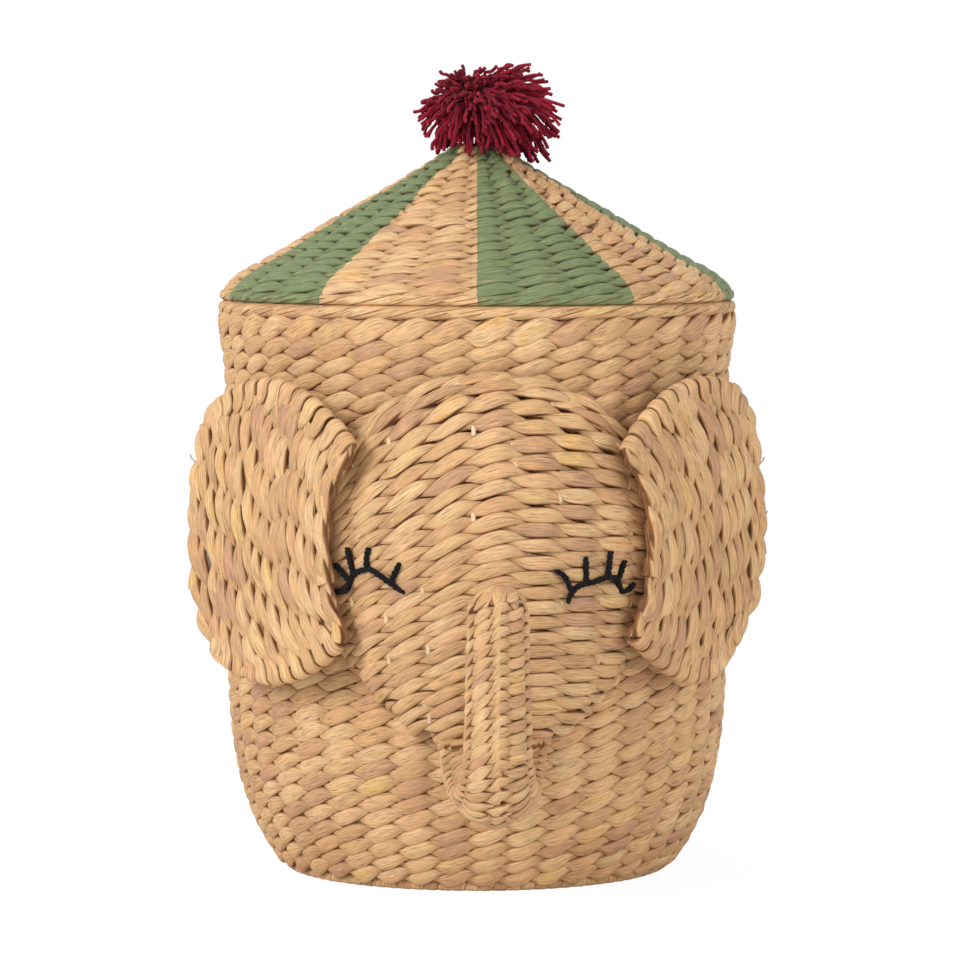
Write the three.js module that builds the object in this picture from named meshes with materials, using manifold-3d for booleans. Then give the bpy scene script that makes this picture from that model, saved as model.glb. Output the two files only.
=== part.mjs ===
// A round woven basket with an elephant's face, two ears, a curled trunk and a conical lid.
// Sizes are millimetres. X runs to the viewer's right, the face looks along -Y and Z is up.
// The origin is the middle of the base, on the floor that the basket stands on.

import * as THREE from "three";
import { mergeVertices } from "three/addons/utils/BufferGeometryUtils.js";
import Module from "manifold-3d";

const wasm = await Module();
wasm.setup();

// Counts and clearances
const turnedFacets = 32; // around each turned or woven round
const wireFacets = 5; // around each wire and yarn
const roundFacets = 12; // around each lashing and the tie
const seatGap = 0.4; // between two pieces that rest on or in each other
const passGap = 0.8; // between two pieces that pass each other
const cutOverrun = 6; // how far a cutter reaches past the piece that it cuts

// The welded wire cage and the woven wall round it
const bodyRadius = 187.5; // at the first course under the rim, where the basket is widest
const wallTop = 399;
const wallThickness = 12;
const frameWire = 4; // diameter
const uprightCount = 10;
const mouthRadiusShare = 0.995; // of the body radius, at the top of the wall
const footRadiusShare = 0.78; // of the body radius, at the foot of the wall
// Shares of the body radius and of the wall's height, from its foot to its top.
const wallOutlineShares = [
  [footRadiusShare, 0],
  [0.83, 0.035],
  [0.875, 0.079],
  [0.919, 0.145],
  [0.95, 0.235],
  [0.9615, 0.324],
  [0.971, 0.903],
  [1, 0.992],
  [mouthRadiusShare, 1],
];

// Strand wound round the rim wire and the base wire
const bindingHeight = 9;
const bindingWidth = 14;
const baseBindingHeight = 8;
const baseBindingWidth = 10;
const baseRingInset = 6.5; // from the middle of the wall's foot, inwards
const baseThickness = 8; // the woven floor
const bindingShoulderShare = 0.72; // of its half width, where the closed side starts to round
const bindingRoundShare = 1 / 3; // of its height

// The bulging woven face panel, on the front of the wall
const faceTopDrop = 36; // from the top of the wall
const faceTop = wallTop - faceTopDrop;
const faceWidest = 240; // height of its widest course
const faceBottom = 112;
const faceHalfWidthShare = 0.6613; // of the body radius, along the wall from the middle to the side
const faceHalfWidth = bodyRadius * faceHalfWidthShare;
const faceChinHalfWidth = 38;
const faceEdge = 10; // how far its edge stands out from the wall
const faceCrown = 46; // how far its ridge stands out from the wall
const faceThickness = 12;
const faceWallGap = 0.8; // the wall is faceted where the panel lies on it
const crownRiseShare = 0.6; // of the face's height, from its top to where the ridge is highest
const crownFullness = 0.8; // power of the sine that draws the ridge
const chinFullness = 0.8; // power of the sine that draws the cheeks
const ridgeSharpnessShare = 0.55; // the straight part of the fall from ridge to edge
const faceColumns = 12;
const faceUpperRows = 7;
const faceLowerRows = 6;
const faceTopTurn = 88; // degrees, at the short edge that closes the panel's top

// The trunk, which goes on from the chin, turns up in front and ends in a blunt tip
const trunkRootProud = 2.1; // how far its root stands out before the chin
const trunkBendRadius = 31;
const trunkTipLean = 4; // forwards, from the end of the bend
const trunkTop = 228;
const trunkRoundness = 1.7; // power of the section, where 2 is an ellipse
const trunkSides = 14;
const trunkTipLength = 20; // the rounded end
const trunkBendSteps = 6;
const trunkStraightShares = [0.25, 0.5, 0.75, 1]; // of the way from the bend to the tip
const trunkTipTurnShares = [0.3, 0.6, 0.85]; // of the quarter turn that rounds the end
const trunkStationShares = [0, 0.3, 0.6, 1]; // of its rings, where its sizes are given
// Half widths and half depths along the trunk: root, lowest point, end of the bend and tip.
const trunkHalfWidths = [38, 31, 23.5, 21];
const trunkHalfDepths = [22, 24, 22, 19];
// Where the wire behind the ridge is tied to it, in shares of the face's height from its top.
const ridgeTieShares = [0.12, 0.3, 0.5, 0.7, 0.9];

// The ears: flat woven panels that stand off the wall
// Degrees from the front. The ears are tied on by hand and don't match exactly.
const leftEarAngle = 48.8;
const rightEarAngle = 47.2;
const earGap = 3.7; // between the panel's back and what lies nearest behind it
const earThickness = 13;
const earBevel = 3.5;
const earWidth = 160;
const earHeight = 213;
const earMiddle = 250; // height of its middle
const earWireInset = 7; // from the outline to the middle of the rim wire
const earCrossWireShares = [-0.22, 0.22]; // of the ear's height, from its middle
const earTieRadius = 6;
const earTieWaist = 4.6;
const earReachRounds = 6; // of the search for how far it stands off
const earOutlineSteps = 28;
const earWireSteps = 20;
// Shares of the ear's width and height, from its middle: outwards, then up.
const earOutlineShares = [
  [-0.54, 0.294],
  [-0.384, 0.402],
  [-0.197, 0.476],
  [0.013, 0.499],
  [0.219, 0.468],
  [0.369, 0.358],
  [0.422, 0.205],
  [0.435, 0.046],
  [0.433, -0.113],
  [0.384, -0.266],
  [0.261, -0.392],
  [0.086, -0.476],
  [-0.124, -0.475],
  [-0.318, -0.411],
  [-0.485, -0.314],
  [-0.403, -0.197],
  [-0.373, -0.067],
  [-0.376, 0.064],
  [-0.433, 0.189],
];

// The sleeping eyes, stitched in one thick yarn each
const eyeYarn = 4; // diameter
const leftEyeShare = -0.597; // of the face's half width, from the middle
const rightEyeShare = 0.5;
const leftEyePlace = [leftEyeShare * faceHalfWidth, 222]; // along the wall, and height
const rightEyePlace = [rightEyeShare * faceHalfWidth, 218];
const eyeWidth = 42;
// Shares of the eye's width, along the wall and up, for the eyelid and then each lash.
const leftEyeStitchShares = [
  [
    [-0.74, -0.22],
    [-0.43, -0.19],
    [-0.28, 0.08],
    [-0.08, 0.18],
    [0.06, 0.17],
    [0.27, 0.03],
    [0.55, -0.17],
  ],
  [
    [-0.34, -0.05],
    [-0.64, 0.24],
  ],
  [
    [-0.28, 0.1],
    [-0.4, 0.52],
  ],
  [
    [-0.02, 0.18],
    [-0.05, 0.34],
    [-0.01, 0.54],
  ],
  [
    [0.34, -0.03],
    [0.48, 0.32],
  ],
];
const rightEyeStitchShares = [
  [
    [-0.47, -0.25],
    [-0.43, -0.1],
    [-0.3, 0.04],
    [-0.08, 0.08],
    [0.18, 0.15],
    [0.33, 0.1],
    [0.45, -0.14],
  ],
  [
    [-0.42, -0.05],
    [-0.52, 0.19],
    [-0.65, 0.3],
  ],
  [
    [-0.19, 0.06],
    [-0.2, 0.5],
  ],
  [
    [0.17, 0.14],
    [0.23, 0.57],
  ],
  [
    [0.36, 0.09],
    [0.49, 0.4],
  ],
  [
    [0.43, -0.1],
    [0.56, -0.09],
    [0.7, 0.01],
  ],
];

// The conical lid
const lidInset = 1; // from the body's widest radius
const lidRadius = bodyRadius - lidInset;
const lidBindingHeight = 7.2;
const lidBindingWidth = 12;
const lidRise = 113; // from its lowest edge to its apex
const lidThickness = 11;
const lidRodCount = 8;
const lidRodTurnShare = 0.5; // of a step, from the front to the first rod
const apexHoleRadius = 6;
const apexRingRadius = 14;
const apexRodRadius = 28; // within it a rod runs straight to the apex ring
const lidFootRadiusShare = 0.984; // of the lid's radius, where the weave leaves the binding
// Shares of the lid's radius and of the weave's rise, from its binding to the apex.
const lidOutlineShares = [
  [lidFootRadiusShare, 0],
  [0.952, 0.073],
  [0.896, 0.142],
  [0.818, 0.211],
  [0.557, 0.487],
  [0.287, 0.762],
  [0.115, 0.954],
  [0.083, 1],
];
const locatingRingWidth = 9;
const locatingRingDrop = 11; // how far it reaches down inside the rim
const locatingRingPlay = 2.6; // between it and the rim binding
const locatingRingRoundShare = 0.25; // of its width

// The pom-pom and the cord that ties it through the apex
const pompomHalfWidth = 52;
const pompomHalfHeight = 38;
const pompomLean = 9; // its middle lies this far to the right of the apex
const pompomLift = 22; // from the apex to its middle
const pompomFacets = 18;
const pompomSeatShare = 0.5; // of the lid's rise, above which the yarn may rest on the lid
const tieCordRadius = 2.6;
const tieKnotRadius = 9;
const tieHeadRadius = 5;
const tieHeadTopShare = 0.6; // of the head's radius
// The knot's outline in shares of its radius: out from the cord, and down from its top.
const tieKnotShares = [
  [0, 1.4],
  [0.6, 1.3],
  [1, 0.7],
  [0.7, 0],
];
const tieReach = 20; // from the apex up to the head that holds the yarn

// Places that follow from the sizes above
const wireRadius = frameWire / 2;
const wallFoot = baseBindingHeight + seatGap;
const rimRingRadius = bodyRadius * mouthRadiusShare - wallThickness / 2;
const rimBindingFoot = wallTop + seatGap;
const rimTop = rimBindingFoot + bindingHeight;
const baseRingRadius = bodyRadius * footRadiusShare - wallThickness / 2 - baseRingInset;
const baseRingHeight = baseBindingHeight / 2 + seatGap;
const rimRingHeight = rimBindingFoot + bindingHeight / 2 - seatGap;
const lidFoot = rimTop + seatGap;
const lidWeaveFoot = lidFoot + lidBindingHeight + seatGap;
const lidRingRadius = lidRadius * lidFootRadiusShare - lidThickness / 2;
const lidRingHeight = lidFoot + lidBindingHeight / 2;
const apexHeight = lidFoot + lidRise;
const trunkRootHeight = faceBottom - seatGap;
const grooveHalfWidth = wireRadius + passGap;

// Finishes
const finishes = {
  strand: [0xd9b583, 0.85, 0],
  paintedStrand: [0x8fa88c, 0.85, 0],
  wire: [0x7c7a76, 0.45, 0.9],
  blackYarn: [0x17161a, 0.9, 0],
  redYarn: [0x7d1f35, 0.95, 0],
};

const model = new THREE.Group();

function add(name, geometry, finish, parent = model) {
  const [color, roughness, metalness] = finishes[finish];
  const material = new THREE.MeshStandardMaterial({ color, roughness, metalness });
  const mesh = new THREE.Mesh(geometry, material);
  mesh.name = name;
  parent.add(mesh);
  return mesh;
}

// Solids and booleans

function solidOf(geometry) {
  const bare = geometry.clone();
  bare.deleteAttribute("normal");
  bare.deleteAttribute("uv");
  const merged = mergeVertices(bare);
  const triVerts = new Uint32Array(merged.index.array);
  const build = () =>
    new wasm.Manifold(
      new wasm.Mesh({
        numProp: 3,
        vertProperties: merged.attributes.position.array,
        triVerts,
      }),
    );
  const solid = build();
  if (solid.volume() > 0) return solid;
  // The outline ran the other way round, so each face is turned over.
  for (let i = 0; i < triVerts.length; i += 3) {
    const first = triVerts[i];
    triVerts[i] = triVerts[i + 1];
    triVerts[i + 1] = first;
  }
  return build();
}

function geometryOf(solid) {
  const mesh = solid.getMesh();
  const geometry = new THREE.BufferGeometry();
  geometry.setAttribute("position", new THREE.BufferAttribute(mesh.vertProperties, 3));
  geometry.setIndex(new THREE.BufferAttribute(mesh.triVerts, 1));
  geometry.computeVertexNormals();
  return geometry;
}

function join(solids) {
  return solids.reduce((whole, piece) => whole.add(piece));
}

function cut(solid, cutters) {
  return cutters.reduce((rest, cutter) => rest.subtract(cutter), solid);
}

// A closed solid through rings of points, with an end on each side or round in a loop.
function loft(rings, looped = false) {
  const count = rings[0].length;
  const corners = rings.flat().flatMap((point) => point.toArray());
  const faces = [];
  const last = looped ? rings.length : rings.length - 1;
  for (let k = 0; k < last; k++) {
    const here = k * count;
    const next = ((k + 1) % rings.length) * count;
    for (let i = 0; i < count; i++) {
      const j = (i + 1) % count;
      faces.push(here + i, here + j, next + j, here + i, next + j, next + i);
    }
  }
  if (!looped) {
    closeEnd(faces, 0, count, true);
    closeEnd(faces, (rings.length - 1) * count, count, false);
  }
  const geometry = new THREE.BufferGeometry();
  geometry.setAttribute("position", new THREE.Float32BufferAttribute(corners, 3));
  geometry.setIndex(faces);
  return solidOf(geometry);
}

// Closes a ring with a ladder of triangles between its two sides.
function closeEnd(faces, start, count, turned) {
  const triangle = (a, b, c) =>
    turned
      ? faces.push(start + b, start + a, start + c)
      : faces.push(start + a, start + b, start + c);
  let low = 0;
  let high = count - 1;
  while (high - low > 1) {
    triangle(low, low + 1, high);
    low += 1;
    if (high - low > 1) triangle(low, high - 1, high);
    high -= 1;
  }
}

// A round wire or yarn through the points, with one side of its section towards a vector.
function wire(points, radius, towards, looped = false) {
  const count = points.length;
  const rings = points.map((point, k) => {
    const before = looped ? points[(k + count - 1) % count] : points[Math.max(k - 1, 0)];
    const after = looped ? points[(k + 1) % count] : points[Math.min(k + 1, count - 1)];
    const along = after.clone().sub(before).normalize();
    const side = along.clone().cross(towards).normalize();
    const up = side.clone().cross(along);
    const ring = [];
    for (let i = 0; i < wireFacets; i++) {
      const turn = (2 * Math.PI * i) / wireFacets;
      ring.push(
        point
          .clone()
          .addScaledVector(side, radius * Math.cos(turn))
          .addScaledVector(up, radius * Math.sin(turn)),
      );
    }
    return ring;
  });
  return loft(rings, looped);
}

// A turned piece about the Z axis, from points of radius and height.
function turned(outline, facets = turnedFacets) {
  const points = outline.map(([radius, height]) => new THREE.Vector2(radius, height));
  const geometry = new THREE.LatheGeometry(points, facets);
  geometry.rotateX(Math.PI / 2);
  return solidOf(geometry);
}

function turnedRing(outline) {
  return turned([...outline, outline[0]]);
}

function hoop(radius, height, thickness) {
  const geometry = new THREE.TorusGeometry(radius, thickness, wireFacets, turnedFacets);
  geometry.translate(0, 0, height);
  return solidOf(geometry);
}

// A point at a radius from the axis, an angle from the front and a height.
function polar(radius, angle, height) {
  return new THREE.Vector3(radius * Math.sin(angle), -radius * Math.cos(angle), height);
}

// The value at a place in a list of pairs, between which it runs straight.
function between(pairs, place) {
  const last = pairs.length - 1;
  let k = 0;
  while (k < last - 1 && place > pairs[k + 1][0]) k += 1;
  const share = (place - pairs[k][0]) / (pairs[k + 1][0] - pairs[k][0]);
  return THREE.MathUtils.lerp(pairs[k][1], pairs[k + 1][1], THREE.MathUtils.clamp(share, 0, 1));
}

// The wall

const wallOutline = wallOutlineShares.map(([radius, height]) => [
  radius * bodyRadius,
  wallFoot + height * (wallTop - wallFoot),
]);

function wallRadius(height) {
  return between(
    wallOutline.map(([radius, z]) => [z, radius]),
    height,
  );
}

// A rod follows every second point of the wall's outline, half way through the weave.
function uprightPath(angle) {
  const inWall = wallOutline
    .filter((point, k) => k % 2 === 0)
    .map(([radius, height]) => polar(radius - wallThickness / 2, angle, height));
  return [
    polar(baseRingRadius, angle, baseRingHeight),
    ...inWall,
    polar(rimRingRadius, angle, rimRingHeight),
  ];
}

// The welded uprights and floor wires, thicker by a clearance where they cut their seats.
function cageRods(clearance) {
  const rods = [];
  for (let k = 0; k < uprightCount; k++) {
    const angle = (2 * Math.PI * k) / uprightCount;
    const path = uprightPath(angle);
    rods.push(wire(path, wireRadius + clearance, polar(wireRadius, angle + Math.PI / 2, 0)));
  }
  return rods;
}

function floorWires(clearance) {
  return [0, Math.PI / 2].map((angle) =>
    wire(
      [
        polar(-baseRingRadius, angle, baseRingHeight),
        polar(baseRingRadius, angle, baseRingHeight),
      ],
      wireRadius + clearance,
      polar(0, 0, wireRadius),
    ),
  );
}

function basketFrame() {
  return join([
    ...cageRods(0),
    ...floorWires(0),
    hoop(rimRingRadius, rimRingHeight, wireRadius),
    hoop(baseRingRadius, baseRingHeight, wireRadius),
  ]);
}

function wallWeave() {
  const inner = wallOutline.map(([radius, height]) => [radius - wallThickness, height]);
  const wall = turnedRing([...wallOutline, ...inner.reverse()]);
  return cut(wall, cageRods(seatGap));
}

// A wound binding round a wire ring, open on the side where the weave meets the wire.
function binding(middle, width, foot, height, ringHeight, opensUp) {
  const half = width / 2;
  const shoulder = half * bindingShoulderShare;
  const round = height * bindingRoundShare;
  const closedSide = opensUp ? foot : foot + height;
  const openSide = opensUp ? foot + height : foot;
  const inwards = Math.sign(openSide - closedSide);
  const grooveFloor = ringHeight - inwards * grooveHalfWidth;
  return turnedRing([
    [middle - shoulder, closedSide],
    [middle + shoulder, closedSide],
    [middle + half, closedSide + inwards * round],
    [middle + half, openSide],
    [middle + grooveHalfWidth, openSide],
    [middle + grooveHalfWidth, grooveFloor],
    [middle - grooveHalfWidth, grooveFloor],
    [middle - grooveHalfWidth, openSide],
    [middle - half, openSide],
    [middle - half, closedSide + inwards * round],
  ]);
}

function rimBinding() {
  return binding(rimRingRadius, bindingWidth, rimBindingFoot, bindingHeight, rimRingHeight, false);
}

function baseBinding() {
  const wound = binding(
    baseRingRadius,
    baseBindingWidth,
    0,
    baseBindingHeight,
    baseRingHeight,
    true,
  );
  return cut(wound, [...floorWires(seatGap), ...cageRods(seatGap)]);
}

function baseWeave() {
  const radius = baseRingRadius - baseBindingWidth / 2 - seatGap;
  const mat = turned([
    [0, 0],
    [radius, 0],
    [radius, baseThickness],
    [0, baseThickness],
  ]);
  return cut(mat, floorWires(seatGap));
}

// The face panel

function faceHalfWidthAt(height) {
  if (height >= faceWidest) {
    const rise = (height - faceWidest) / (faceTop - faceWidest);
    return faceHalfWidth * Math.sqrt(Math.max(0, 1 - rise * rise));
  }
  const rise = (height - faceBottom) / (faceWidest - faceBottom);
  const cheek = Math.sin((Math.PI / 2) * Math.max(0, rise)) ** chinFullness;
  return THREE.MathUtils.lerp(faceChinHalfWidth, faceHalfWidth, cheek);
}

// The radius of the panel's front at a distance along the wall and a height.
function faceRadius(sideways, height) {
  const fall = (faceTop - height) / ((faceTop - faceBottom) * crownRiseShare);
  const swell = Math.sin((Math.PI / 2) * THREE.MathUtils.clamp(fall, 0, 1)) ** crownFullness;
  const crown = THREE.MathUtils.lerp(faceEdge, faceCrown, swell);
  const out = Math.min(1, Math.abs(sideways) / faceHalfWidthAt(height));
  const drop = ridgeSharpnessShare * out + (1 - ridgeSharpnessShare) * out * out;
  return wallRadius(height) + THREE.MathUtils.lerp(crown, faceEdge, drop);
}

function faceWeave() {
  const topTurn = THREE.MathUtils.degToRad(faceTopTurn);
  const heights = [];
  for (let k = 0; k < faceLowerRows; k++)
    heights.push(THREE.MathUtils.lerp(faceBottom, faceWidest, k / faceLowerRows));
  for (let k = 0; k <= faceUpperRows; k++)
    heights.push(faceWidest + (faceTop - faceWidest) * Math.sin((topTurn * k) / faceUpperRows));
  const rings = heights.map((height) => {
    const wall = wallRadius(height);
    const front = [];
    const back = [];
    for (let i = 0; i <= faceColumns; i++) {
      const sideways = faceHalfWidthAt(height) * ((2 * i) / faceColumns - 1);
      const angle = sideways / wall;
      const radius = faceRadius(sideways, height);
      front.push(polar(radius, angle, height));
      back.push(polar(Math.max(wall + faceWallGap, radius - faceThickness), angle, height));
    }
    return [...front, ...back.reverse()];
  });
  return loft(rings);
}

// The trunk

// From the basket's axis to the middle of the trunk's root, and to the middle of its tip.
const trunkRootReach = faceRadius(0, faceBottom) - trunkHalfDepths[0] + trunkRootProud;
const trunkTipReach = trunkRootReach + 2 * trunkBendRadius + trunkTipLean;

// The middle of the trunk as pairs of reach and height, from its root to its tip.
function trunkPath() {
  const path = [];
  for (let k = 0; k <= trunkBendSteps; k++) {
    const turn = (Math.PI * k) / trunkBendSteps;
    path.push([
      trunkRootReach + trunkBendRadius * (1 - Math.cos(turn)),
      trunkRootHeight - trunkBendRadius * Math.sin(turn),
    ]);
  }
  const [bendEnd] = path[trunkBendSteps];
  const tipStart = trunkTop - trunkTipLength;
  for (const share of trunkStraightShares)
    path.push([
      THREE.MathUtils.lerp(bendEnd, trunkTipReach, share),
      THREE.MathUtils.lerp(trunkRootHeight, tipStart, share),
    ]);
  return path;
}

function trunkSection(halfWidth, halfDepth, middle, outwards) {
  const ring = [];
  for (let i = 0; i < trunkSides; i++) {
    const turn = (2 * Math.PI * i) / trunkSides;
    const across = Math.sign(Math.sin(turn)) * Math.abs(Math.sin(turn)) ** (2 / trunkRoundness);
    const out = Math.sign(Math.cos(turn)) * Math.abs(Math.cos(turn)) ** (2 / trunkRoundness);
    const place = middle.clone().addScaledVector(outwards, halfDepth * out);
    ring.push(place.add(new THREE.Vector3(halfWidth * across, 0, 0)));
  }
  return ring;
}

function trunkWeave() {
  const path = trunkPath();
  const last = path.length - 1;
  const place = ([reach, height]) => new THREE.Vector3(0, -reach, height);
  const size = (sizes, share) =>
    between(
      trunkStationShares.map((station, k) => [station, sizes[k]]),
      share,
    );
  const rings = path.map((point, k) => {
    const middle = place(point);
    const along = place(path[Math.min(k + 1, last)]).sub(place(path[Math.max(k - 1, 0)]));
    // At the root the section lies flat against the chin.
    if (k === 0) along.set(0, 0, -1);
    const outwards = new THREE.Vector3(1, 0, 0).cross(along.normalize());
    const share = k / last;
    return trunkSection(
      size(trunkHalfWidths, share),
      size(trunkHalfDepths, share),
      middle,
      outwards,
    );
  });
  const tip = place(path[last]);
  const outwards = new THREE.Vector3(0, -1, 0);
  for (const share of trunkTipTurnShares) {
    const shrink = Math.cos((share * Math.PI) / 2);
    const lift = trunkTipLength * Math.sin((share * Math.PI) / 2);
    const middle = tip.clone().add(new THREE.Vector3(0, 0, lift));
    const halfWidth = trunkHalfWidths[trunkHalfWidths.length - 1] * shrink;
    const halfDepth = trunkHalfDepths[trunkHalfDepths.length - 1] * shrink;
    rings.push(trunkSection(halfWidth, halfDepth, middle, outwards));
  }
  return cut(loft(rings), [trunkWire(seatGap)]);
}

// One stout wire stiffens the ridge of the face from behind and runs on inside the trunk.
function trunkWire(clearance) {
  const behind = ridgeTieShares.map((share) => {
    const height = THREE.MathUtils.lerp(faceTop, faceBottom, share);
    const reach = faceRadius(0, height) - faceThickness - wireRadius - passGap;
    return new THREE.Vector3(0, -reach, height);
  });
  const inside = trunkPath().map(([reach, height]) => new THREE.Vector3(0, -reach, height));
  return wire([...behind, ...inside], wireRadius + clearance, new THREE.Vector3(1, 0, 0));
}

// The eyes

function eyeStitches(place, stitches) {
  const reach = eyeYarn / 2 + seatGap;
  const tubes = stitches.map((stitch) => {
    const curve = new THREE.CatmullRomCurve3(
      stitch.map(([along, up]) => {
        const sideways = place[0] + along * eyeWidth;
        const height = place[1] + up * eyeWidth;
        const angle = sideways / wallRadius(height);
        return polar(faceRadius(sideways, height) + reach, angle, height);
      }),
    );
    const steps = stitch.length > 2 ? stitch.length + 1 : 2;
    return wire(curve.getPoints(steps), eyeYarn / 2, polar(reach, place[0] / bodyRadius, 0));
  });
  return join(tubes);
}

// The ears, drawn flat: X runs along the wall, Y up and Z away from it

function earTurn(side) {
  return THREE.MathUtils.degToRad(side > 0 ? rightEarAngle : leftEarAngle);
}

// How far from the basket's axis a point of the ear's outline has to lie to clear what is behind it.
function earClearReach(side, out, up) {
  const along = out * earWidth;
  const height = earMiddle + up * earHeight;
  const wall = wallRadius(height);
  let reach = wall;
  for (let k = 0; k < earReachRounds; k++) {
    const sideways = (earTurn(side) + Math.atan2(along, reach)) * wall;
    const onFace = Math.abs(sideways) < faceHalfWidthAt(height);
    const radius = onFace ? faceRadius(sideways, height) : wall;
    reach = Math.sqrt(Math.max(0, radius * radius - along * along));
  }
  return reach;
}

// From the basket's axis to the middle of the ear's thickness.
function earReach(side) {
  const clear = earOutlineShares.map(([out, up]) => earClearReach(side, out, up));
  return Math.max(...clear) + earGap + earThickness / 2;
}

function earOutline(side, inset) {
  return earOutlineShares.map(([out, up]) => {
    const point = new THREE.Vector2(side * out * earWidth, up * earHeight);
    return point.setLength(point.length() - inset);
  });
}

function earLoop(side, inset, steps) {
  const corners = earOutline(side, inset).map((p) => new THREE.Vector3(p.x, p.y, 0));
  const curve = new THREE.CatmullRomCurve3(corners, true, "centripetal");
  return curve.getSpacedPoints(steps).slice(0, steps);
}

function earPanel(side) {
  const outline = earLoop(side, 0, earOutlineSteps).map((p) => new THREE.Vector2(p.x, p.y));
  if (side > 0) outline.reverse();
  const geometry = new THREE.ExtrudeGeometry(new THREE.Shape(outline), {
    depth: earThickness - 2 * earBevel,
    bevelThickness: earBevel,
    bevelSize: earBevel,
    bevelOffset: -earBevel,
    bevelSegments: 1,
  });
  geometry.translate(0, 0, earBevel - earThickness / 2);
  return solidOf(geometry);
}

function earFrame(side, clearance) {
  const away = new THREE.Vector3(0, 0, 1);
  const radius = wireRadius + clearance;
  const loop = earLoop(side, earWireInset, earWireSteps);
  const crossWires = earCrossWireShares.map((share) => {
    const height = share * earHeight;
    const crossings = loop.flatMap((point, k) => {
      const next = loop[(k + 1) % loop.length];
      if (point.y > height === next.y > height) return [];
      return [point.clone().lerp(next, (height - point.y) / (next.y - point.y))];
    });
    return wire(crossings, radius, away);
  });
  return join([wire(loop, radius, away, true), ...crossWires]);
}

// A lashing binds a cross wire of the ear, through the panel's back, to the wall behind it.
function earTie(side, share, clearance) {
  const foot = wallRadius(earMiddle) + seatGap - earReach(side);
  const head = clearance > 0 ? 0 : -wireRadius - seatGap;
  const middle = (foot + head) / 2;
  const radius = earTieRadius + clearance;
  const lashing = turned(
    [
      [0, clearance > 0 ? middle : foot],
      [radius, clearance > 0 ? middle : foot],
      [clearance > 0 ? radius : earTieWaist, middle + clearance],
      [radius, head],
      [0, head],
    ],
    roundFacets,
  );
  return lashing.translate([0, share * earHeight, 0]);
}

function earWeave(side) {
  const windows = earCrossWireShares.map((share) => earTie(side, share, seatGap));
  return cut(earPanel(side), [earFrame(side, seatGap), ...windows]);
}

function addEar(side, name) {
  const ear = new THREE.Group();
  const turn = side * earTurn(side);
  ear.position.copy(polar(earReach(side), turn, earMiddle));
  ear.rotation.set(Math.PI / 2, turn, 0, "XYZ");
  model.add(ear);
  add(name + "_weave", geometryOf(earWeave(side)), "strand", ear);
  add(name + "_frame", geometryOf(earFrame(side, 0)), "wire", ear);
  const [lower, upper] = earCrossWireShares;
  add(name + "_lower_lashing", geometryOf(earTie(side, lower, 0)), "strand", ear);
  add(name + "_upper_lashing", geometryOf(earTie(side, upper, 0)), "strand", ear);
}

// The lid

const lidOutline = lidOutlineShares.map(([radius, height]) => [
  radius * lidRadius,
  THREE.MathUtils.lerp(lidWeaveFoot, apexHeight, height),
]);

// The outline moved square to itself, and at its ends level or plumb, into the lid.
function lidInwards(depth) {
  const last = lidOutline.length - 1;
  return lidOutline.map(([radius, height], k) => {
    if (k === 0) return [radius - depth, height];
    if (k === last) return [radius, height - depth];
    const [r0, z0] = lidOutline[k - 1];
    const [r1, z1] = lidOutline[k + 1];
    const length = Math.hypot(r1 - r0, z1 - z0);
    return [radius - (depth * (z1 - z0)) / length, height + (depth * (r1 - r0)) / length];
  });
}

function lidUnderside(radius) {
  const inner = lidInwards(lidThickness).map(([r, height]) => [-r, height]);
  return between(inner, -radius);
}

function lidRods(clearance) {
  const middle = lidInwards(lidThickness / 2);
  const rods = [];
  for (let k = 0; k < lidRodCount; k++) {
    const angle = (2 * Math.PI * (k + lidRodTurnShare)) / lidRodCount;
    const path = [
      polar(lidRingRadius, angle, lidRingHeight),
      ...middle
        .filter(([radius]) => radius > apexRodRadius)
        .map(([radius, height]) => polar(radius, angle, height)),
      polar(apexRingRadius, angle, apexRingHeight()),
    ];
    rods.push(wire(path, wireRadius + clearance, polar(wireRadius, angle + Math.PI / 2, 0)));
  }
  return rods;
}

function apexRingHeight() {
  return apexHeight - lidThickness / 2;
}

function lidFrame() {
  return join([
    ...lidRods(0),
    hoop(lidRingRadius, lidRingHeight, wireRadius),
    hoop(apexRingRadius, apexRingHeight(), wireRadius),
  ]);
}

function lidWeave() {
  const inner = lidInwards(lidThickness).filter(([radius]) => radius > apexRingRadius);
  const shell = turnedRing([
    ...lidOutline,
    [apexHoleRadius, apexHeight],
    [apexHoleRadius, apexHeight - lidThickness],
    ...inner.reverse(),
  ]);
  const ringSeat = hoop(apexRingRadius, apexRingHeight(), wireRadius + seatGap);
  return cut(shell, [...lidRods(seatGap), ringSeat]);
}

function lidBinding() {
  return binding(lidRingRadius, lidBindingWidth, lidFoot, lidBindingHeight, lidRingHeight, true);
}

// A bound ring under the lid drops inside the rim and keeps the lid in its place.
function locatingRing() {
  const outside = rimRingRadius - bindingWidth / 2 - locatingRingPlay;
  const inside = outside - locatingRingWidth;
  const foot = rimTop - locatingRingDrop;
  const round = locatingRingWidth * locatingRingRoundShare;
  return turnedRing([
    [inside + round, foot],
    [outside - round, foot],
    [outside, foot + round],
    [outside, lidUnderside(outside) - passGap],
    [inside, lidUnderside(inside) - passGap],
    [inside, foot + round],
  ]);
}

// The pom-pom

function tie() {
  const knotTop = apexHeight - lidThickness - seatGap;
  const knot = tieKnotShares.map(([out, down]) => [
    tieKnotRadius * out,
    knotTop - tieKnotRadius * down,
  ]);
  const head = apexHeight + tieReach;
  return turned(
    [
      ...knot,
      [tieCordRadius, knotTop],
      [tieCordRadius, head - tieHeadRadius],
      [tieHeadRadius, head],
      [tieHeadRadius * tieHeadTopShare, head + tieHeadRadius],
      [0, head + tieHeadRadius],
    ],
    roundFacets,
  );
}

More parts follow.
